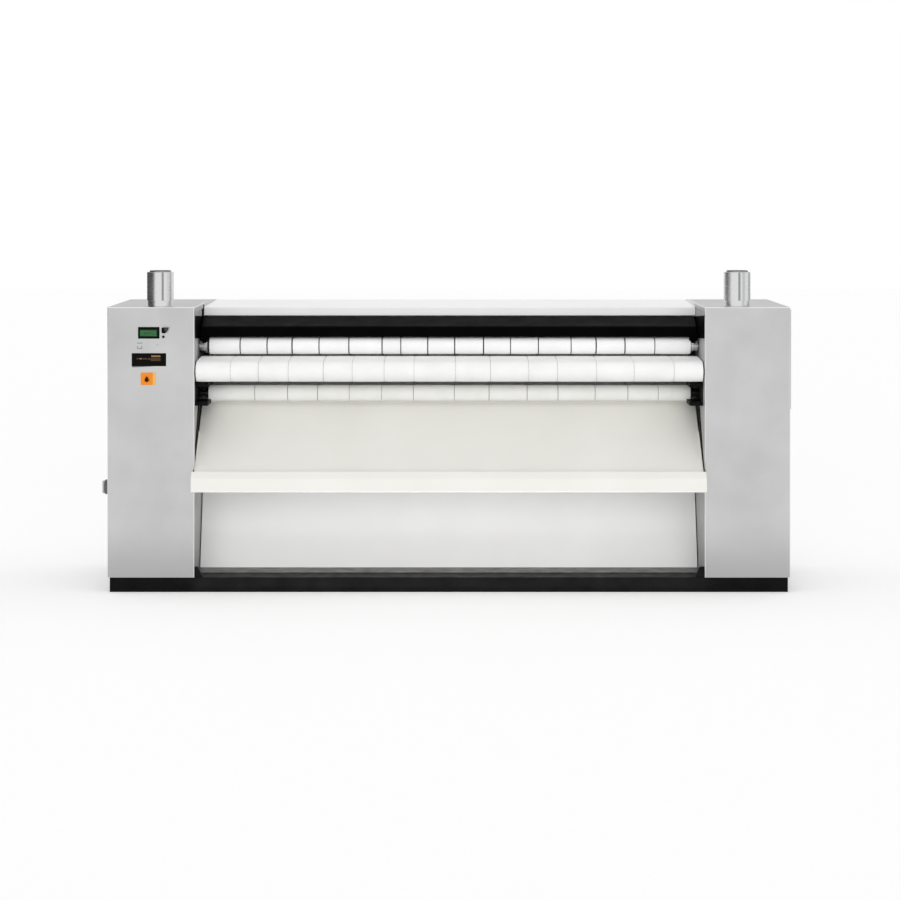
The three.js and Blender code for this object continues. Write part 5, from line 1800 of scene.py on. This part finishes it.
@dataclass
class MainSwitch:
    """The isolator on the outer side of the left cabinet: a square base and a knob with a grip."""

    base_edge: float = 0.003
    gap: float = 0.0003
    chamfer: float = 0.001
    face_chamfer: float = 0.004
    shaft: float = 0.005
    grip_width: float = 0.012
    grip_rise: float = 0.01
    grip_inset: float = 0.006
    grip_root: float = 0.002
    grip_edge: float = 0.002

    def build(self) -> None:
        """Builds the switch."""
        base = Shape().box(*spans("isolator_base")).soften(self.base_edge, 4)
        base.piece("switch_base", GREY_PLASTIC, replaces=["isolator_base"])
        body = "isolator_knob"
        knob_low, knob_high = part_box(body)
        radius = (knob_high.z - knob_low.z) / 2
        centre = Vector((0, *middle(body).yz))
        near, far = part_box("isolator_base")[0].x - self.gap, knob_low.x
        face, c = far + self.grip_rise, self.chamfer
        profile = [
            (0.0, near),
            (radius - c, near),
            (radius, near - c),
            (radius - c, face + self.face_chamfer),
            (radius - self.face_chamfer, face),
            (0.0, face),
        ]
        knob = Shape().lathe(profile, centre, Axis.X, 64)
        knob.disc(self.shaft, (near - c, knob_high.x), centre, Axis.X, 24)
        knob.piece("switch_knob", GREY_PLASTIC, body, [body])
        half, length = self.grip_width / 2, radius - self.grip_inset
        grip = Shape().box(
            (far, face + self.grip_root),
            (centre.y - half, centre.y + half),
            (centre.z - length, centre.z + length),
        )
        grip.soften(self.grip_edge, 3).piece("switch_grip", PALE_PLASTIC, body)


@dataclass
class ServiceCovers:
    """The covers on the outer side of the right cabinet, over the drive."""

    rounding: float = 0.003
    lower_rounding: float = 0.001
    screw_insets: Span = (0.02, 0.018)

    def build(self) -> None:
        """Builds both covers, and screws on the lower one."""
        shape = Shape().box(*spans("right_service_cover")).soften(self.rounding, 4)
        shape.piece("service_cover", STAINLESS, replaces=["right_service_cover"])
        low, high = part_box("right_lower_cover")
        shape = Shape().box(*spans("right_lower_cover")).soften(self.lower_rounding, 3)
        shape.piece("lower_cover", STAINLESS, replaces=["right_lower_cover"])
        inset, rise = self.screw_insets
        columns = (low.y + inset, 0.0, high.y - inset)
        places = [(y, z) for y in columns for z in (low.z + rise, high.z - rise)]
        screws(places, high.x, Axis.X, 1).piece("lower_cover_screws", TURNED_STEEL)


@dataclass
class KeptNodes:
    """Nodes of the frame that are shown as they are, with softened edges and their own finish."""

    nodes: dict[str, bpy.types.Object]
    softening: float = 0.0008
    weld: float = 0.00001
    sharpest: float = 50.0

    FINISHES = {
        BLACK_COAT: ("base_frame", "left_outfeed_bracket", "right_outfeed_bracket"),
        GUARD_COAT: ("left_guard_cheek", "right_guard_cheek"),
        PAN_COAT_LIT: ("base_floor_pan",),
        ZINC: (
            "feed_bed",
            "left_fan_housing",
            "right_fan_housing",
            "left_fan_impeller",
            "right_fan_impeller",
        ),
        TURNED_STEEL: ("stripper_bar",),
        ROLLER_STEEL: ("drum",),
        CASTING: (
            "cross_beam_front",
            "cross_beam_rear",
            "left_drum_bearing",
            "right_drum_bearing",
            "heater_carrier",
            "cylinder_pulley",
            "motor_pulley",
        ),
        MOTOR_COAT: ("gear_motor",),
        RUBBER: ("drive_belt",),
        GREY_PLASTIC: ("control_box",),
    }

    def build(self) -> None:
        """Dresses each kept node."""
        for finish, names in self.FINISHES.items():
            for name in names:
                self.dress(name, finish)

    def dress(self, name: str, finish: Finish) -> None:
        """Gives one node its finish and soft edges.

        Args:
            name: The node.
            finish: Its finish.
        """
        node = self.nodes[name]
        node.data.materials.clear()
        node.data.materials.append(finish.material())
        weld = node.modifiers.new("weld", "WELD")
        weld.merge_threshold = self.weld
        bevel = node.modifiers.new("soften", "BEVEL")
        bevel.width = self.softening
        bevel.segments = 2
        bevel.limit_method = "ANGLE"
        bevel.angle_limit = math.radians(self.sharpest)
        LOG.info("%s: kept, dressed in %s", name, finish.name)


@dataclass(frozen=True)
class Flat:
    """An upright grey flat of the studio.

    Args:
        start: Where it starts on the floor plan.
        end: Where it ends.
        level: Its grey.
    """

    start: tuple[float, float]
    end: tuple[float, float]
    level: float


@dataclass
class Studio:
    """A pale floor, soft light, grey flats that the bare metal mirrors, and the camera."""

    distance: float = 10.1
    eye: float = 1.637
    focal_pixels: float = 2386.8
    image: int = 900
    horizon_row: float = 191.5
    middle_column: float = 448.8
    sensor: float = 0.036
    sky: float = 0.74
    front_light: float = 1.7
    front_height: float = 0.0
    softness: float = 50.0
    top_light: float = 1.8
    top_place: tuple[float, float, float] = (0.0, 0.35, 2.3)
    top_size: Span = (2.8, 0.6)
    low_light: float = 3.7
    low_place: tuple[float, float, float] = (0.0, -0.42, 0.004)
    low_size: Span = (2.1, 0.12)
    floor_size: float = 60.0
    floor_colour: str = "f7f7f7"
    floor_white: float = 0.25
    flat_heights: Span = (0.95, 2.6)

    FLATS = (
        Flat((-2.4, 3.3), (-2.4, 1.3), 0.25),
        Flat((-2.4, 1.3), (-2.4, -1.1), 0.08),
        Flat((-2.4, -1.1), (-3.6, -2.7), 0.25),
        Flat((2.4, 1.2), (2.4, -0.05), 0.5),
        Flat((2.4, -0.9), (2.4, -1.8), 0.65),
    )

    def build(self) -> None:
        """Builds the camera, the light, the floor and the flats."""
        bpy.context.scene.view_settings.view_transform = "Standard"
        self.camera()
        self.world()
        self.lamps()
        self.floor()
        self.flats()

    def camera(self) -> None:
        """The camera at eye height, level, with the photograph's framing."""
        data = bpy.data.cameras.new("camera")
        data.sensor_width = self.sensor * 1000
        data.lens = self.focal_pixels / self.image * data.sensor_width
        data.shift_x = (self.image / 2 - self.middle_column) / self.image
        data.shift_y = (self.horizon_row - self.image / 2) / self.image
        camera = bpy.data.objects.new("camera", data)
        camera.location = (0, -self.distance, self.eye)
        camera.rotation_euler = (math.pi / 2, 0, 0)
        bpy.context.scene.collection.objects.link(camera)
        bpy.context.scene.camera = camera

    def seen(self, tree: Tree) -> Socket:
        """1 for rays of the camera, of mirrors and of glass, and 0 for the rays that carry light."""
        path = add_node(tree, "ShaderNodeLightPath").outputs
        mirrored = add_node(
            tree, "ShaderNodeMath", {0: path["Is Camera Ray"], 1: path["Is Glossy Ray"]}, operation="MAXIMUM"
        ).outputs[0]
        return add_node(
            tree, "ShaderNodeMath", {0: mirrored, 1: path["Is Transmission Ray"]}, operation="MAXIMUM"
        ).outputs[0]

    def world(self) -> None:
        """A white room: full white where it is seen, and the plain level where it lights."""
        world = bpy.data.worlds.new("studio")
        world.use_nodes = True
        tree = world.node_tree
        tree.nodes.clear()
        strength = add_node(
            tree, "ShaderNodeMapRange", {"Value": self.seen(tree), "To Min": self.sky, "To Max": 1.0}
        )
        background = add_node(
            tree, "ShaderNodeBackground", {"Color": (1, 1, 1, 1), "Strength": strength.outputs[0]}
        )
        add_node(tree, "ShaderNodeOutputWorld", {"Surface": background.outputs[0]})
        bpy.context.scene.world = world

    def lamps(self) -> None:
        """A wide soft light from the front, a soft box over the top and a strip under the tray."""
        sun = bpy.data.lights.new("front_light", "SUN")
        sun.energy = self.front_light
        sun.angle = math.radians(self.softness)
        lamp = bpy.data.objects.new("front_light", sun)
        lamp.rotation_euler = (math.radians(90 - self.front_height), 0, 0)
        lamp.visible_glossy = False
        bpy.context.scene.collection.objects.link(lamp)
        self.soft_box("top_light", self.top_light, self.top_place, self.top_size, 0.0)
        self.soft_box("low_light", self.low_light, self.low_place, self.low_size, math.pi)

    def soft_box(self, name: str, power: float, place: Sequence[float], size: Span, turn: float) -> None:
        """Adds a lamp with a rectangular face.

        Args:
            name: The lamp's name.
            power: Its power in watts.
            place: Its middle.
            size: Its width and depth.
            turn: How far it is turned over, where 0 points it downwards.
        """
        light = bpy.data.lights.new(name, "AREA")
        light.shape = "RECTANGLE"
        light.size, light.size_y = size
        light.energy = power
        box = bpy.data.objects.new(name, light)
        box.location = place
        box.rotation_euler = (turn, 0, 0)
        box.visible_camera = False
        box.visible_glossy = False
        bpy.context.scene.collection.objects.link(box)

    def floor(self) -> None:
        """The floor: pale paint that keeps the shadow, and where it is seen it nears the white room."""
        half = self.floor_size / 2
        mesh = bpy.data.meshes.new("floor")
        corners = [(-half, -half, 0), (half, -half, 0), (half, half, 0), (-half, half, 0)]
        mesh.from_pydata(corners, [], [(0, 1, 2, 3)])
        floor = bpy.data.objects.new("floor", mesh)
        bpy.context.scene.collection.objects.link(floor)
        material = bpy.data.materials.new("floor_white")
        material.use_nodes = True
        tree = material.node_tree
        shader = tree.nodes["Principled BSDF"]
        paint = {
            "Base Color": linear(self.floor_colour),
            "Roughness": 1.0,
            "Specular IOR Level": 0.0,
            "Emission Color": (1, 1, 1, 1),
        }
        fill(shader, paint)
        given = {"Value": self.seen(tree), "To Min": 0.0, "To Max": self.floor_white}
        glow = add_node(tree, "ShaderNodeMapRange", given)
        tree.links.new(glow.outputs[0], shader.inputs["Emission Strength"])
        mesh.materials.append(material)

    def flats(self) -> None:
        """The grey flats off either side, which only bare metal shows, as its dark bands."""
        for i, flat in enumerate(self.FLATS):
            name = f"studio_flat_{i}"
            mesh = bpy.data.meshes.new(name)
            corners = [(x, y, z) for x, y in (flat.start, flat.end) for z in self.flat_heights]
            mesh.from_pydata(corners, [], [(0, 1, 3, 2)])
            mesh.materials.append(self.flat_material(name, flat.level))
            made = bpy.data.objects.new(name, mesh)
            bpy.context.scene.collection.objects.link(made)
            made.visible_camera = False
            made.visible_diffuse = False
            made.visible_shadow = False

    def flat_material(self, name: str, level: float) -> bpy.types.Material:
        """A flat that shows the same grey from everywhere."""
        material = bpy.data.materials.new(name)
        material.use_nodes = True
        tree = material.node_tree
        tree.nodes.clear()
        shader = add_node(tree, "ShaderNodeEmission", {"Color": (level, level, level, 1), "Strength": 1.0})
        add_node(tree, "ShaderNodeOutputMaterial", {"Surface": shader.outputs[0]})
        return material


IRONING_SEAM_SHARES = (
    0.064, 0.12, 0.172, 0.228, 0.29, 0.359, 0.398, 0.454,
    0.51, 0.57, 0.626, 0.684, 0.752, 0.804, 0.864, 0.926,
)
OUTFEED_SEAM_SHARES = (
    0.096, 0.164, 0.226, 0.292, 0.359, 0.425, 0.51, 0.582, 0.661, 0.725, 0.802, 0.87, 0.933,
)
FEED_SEAM_SHARES = (
    0.068, 0.123, 0.182, 0.251, 0.308, 0.371, 0.43, 0.512, 0.581, 0.656, 0.713, 0.79, 0.864, 0.943,
)


def build_belts() -> None:
    """Builds the three rows of belts."""
    drum = Wheel.of("drum", against=True)
    ironing = [
        Wheel.of("press_roller"),
        drum,
        Wheel.of("turn_roller"),
        Wheel.of("rear_bottom_roller"),
        Wheel.of("rear_top_roller"),
    ]
    outfeed = [Wheel.of("outfeed_front_roller"), Wheel.of("outfeed_rear_roller")]
    feed = [Wheel.of("feed_nose_roller"), Wheel.of("feed_rear_roller")]
    banks = (
        BeltBank(
            "ironing_belts", "ironing_felts", ironing, IRONING_SEAM_SHARES, FELT,
            gaps=(0.0035, 0.0056), seed=11, insets=(0.009, 0.0),
        ),
        BeltBank(
            "outfeed_belts", "outfeed_felts", outfeed, OUTFEED_SEAM_SHARES, OUTFEED_FELT,
            gaps=(0.0012, 0.0022), seed=12, insets=(0.006, 0.0),
        ),
        BeltBank(
            "feed_belts", "feed_felts", feed, FEED_SEAM_SHARES, FEED_FELT,
            gaps=(0.001, 0.0019), seed=13, insets=(0.006, 0.0),
        ),
    )
    for bank in banks:
        bank.build()


def main() -> None:
    logging.basicConfig(level=logging.INFO, format="%(message)s")
    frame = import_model()
    Studio().build()
    machine = Machine.from_frame()
    for side in Side:
        Cabinet(machine, side).build()
        ExhaustStack(side).build()
    TopCover().build()
    FingerGuard().build()
    build_belts()
    RollerSet(machine).build()
    LinenTray().build()
    LowerBody(machine).build()
    ControlPanel(machine, frame["record"]["behaviour"]["joints"]).build()
    MainSwitch().build()
    ServiceCovers().build()
    KeptNodes(frame["nodes"]).build()


if __name__ == "__main__":
    main()
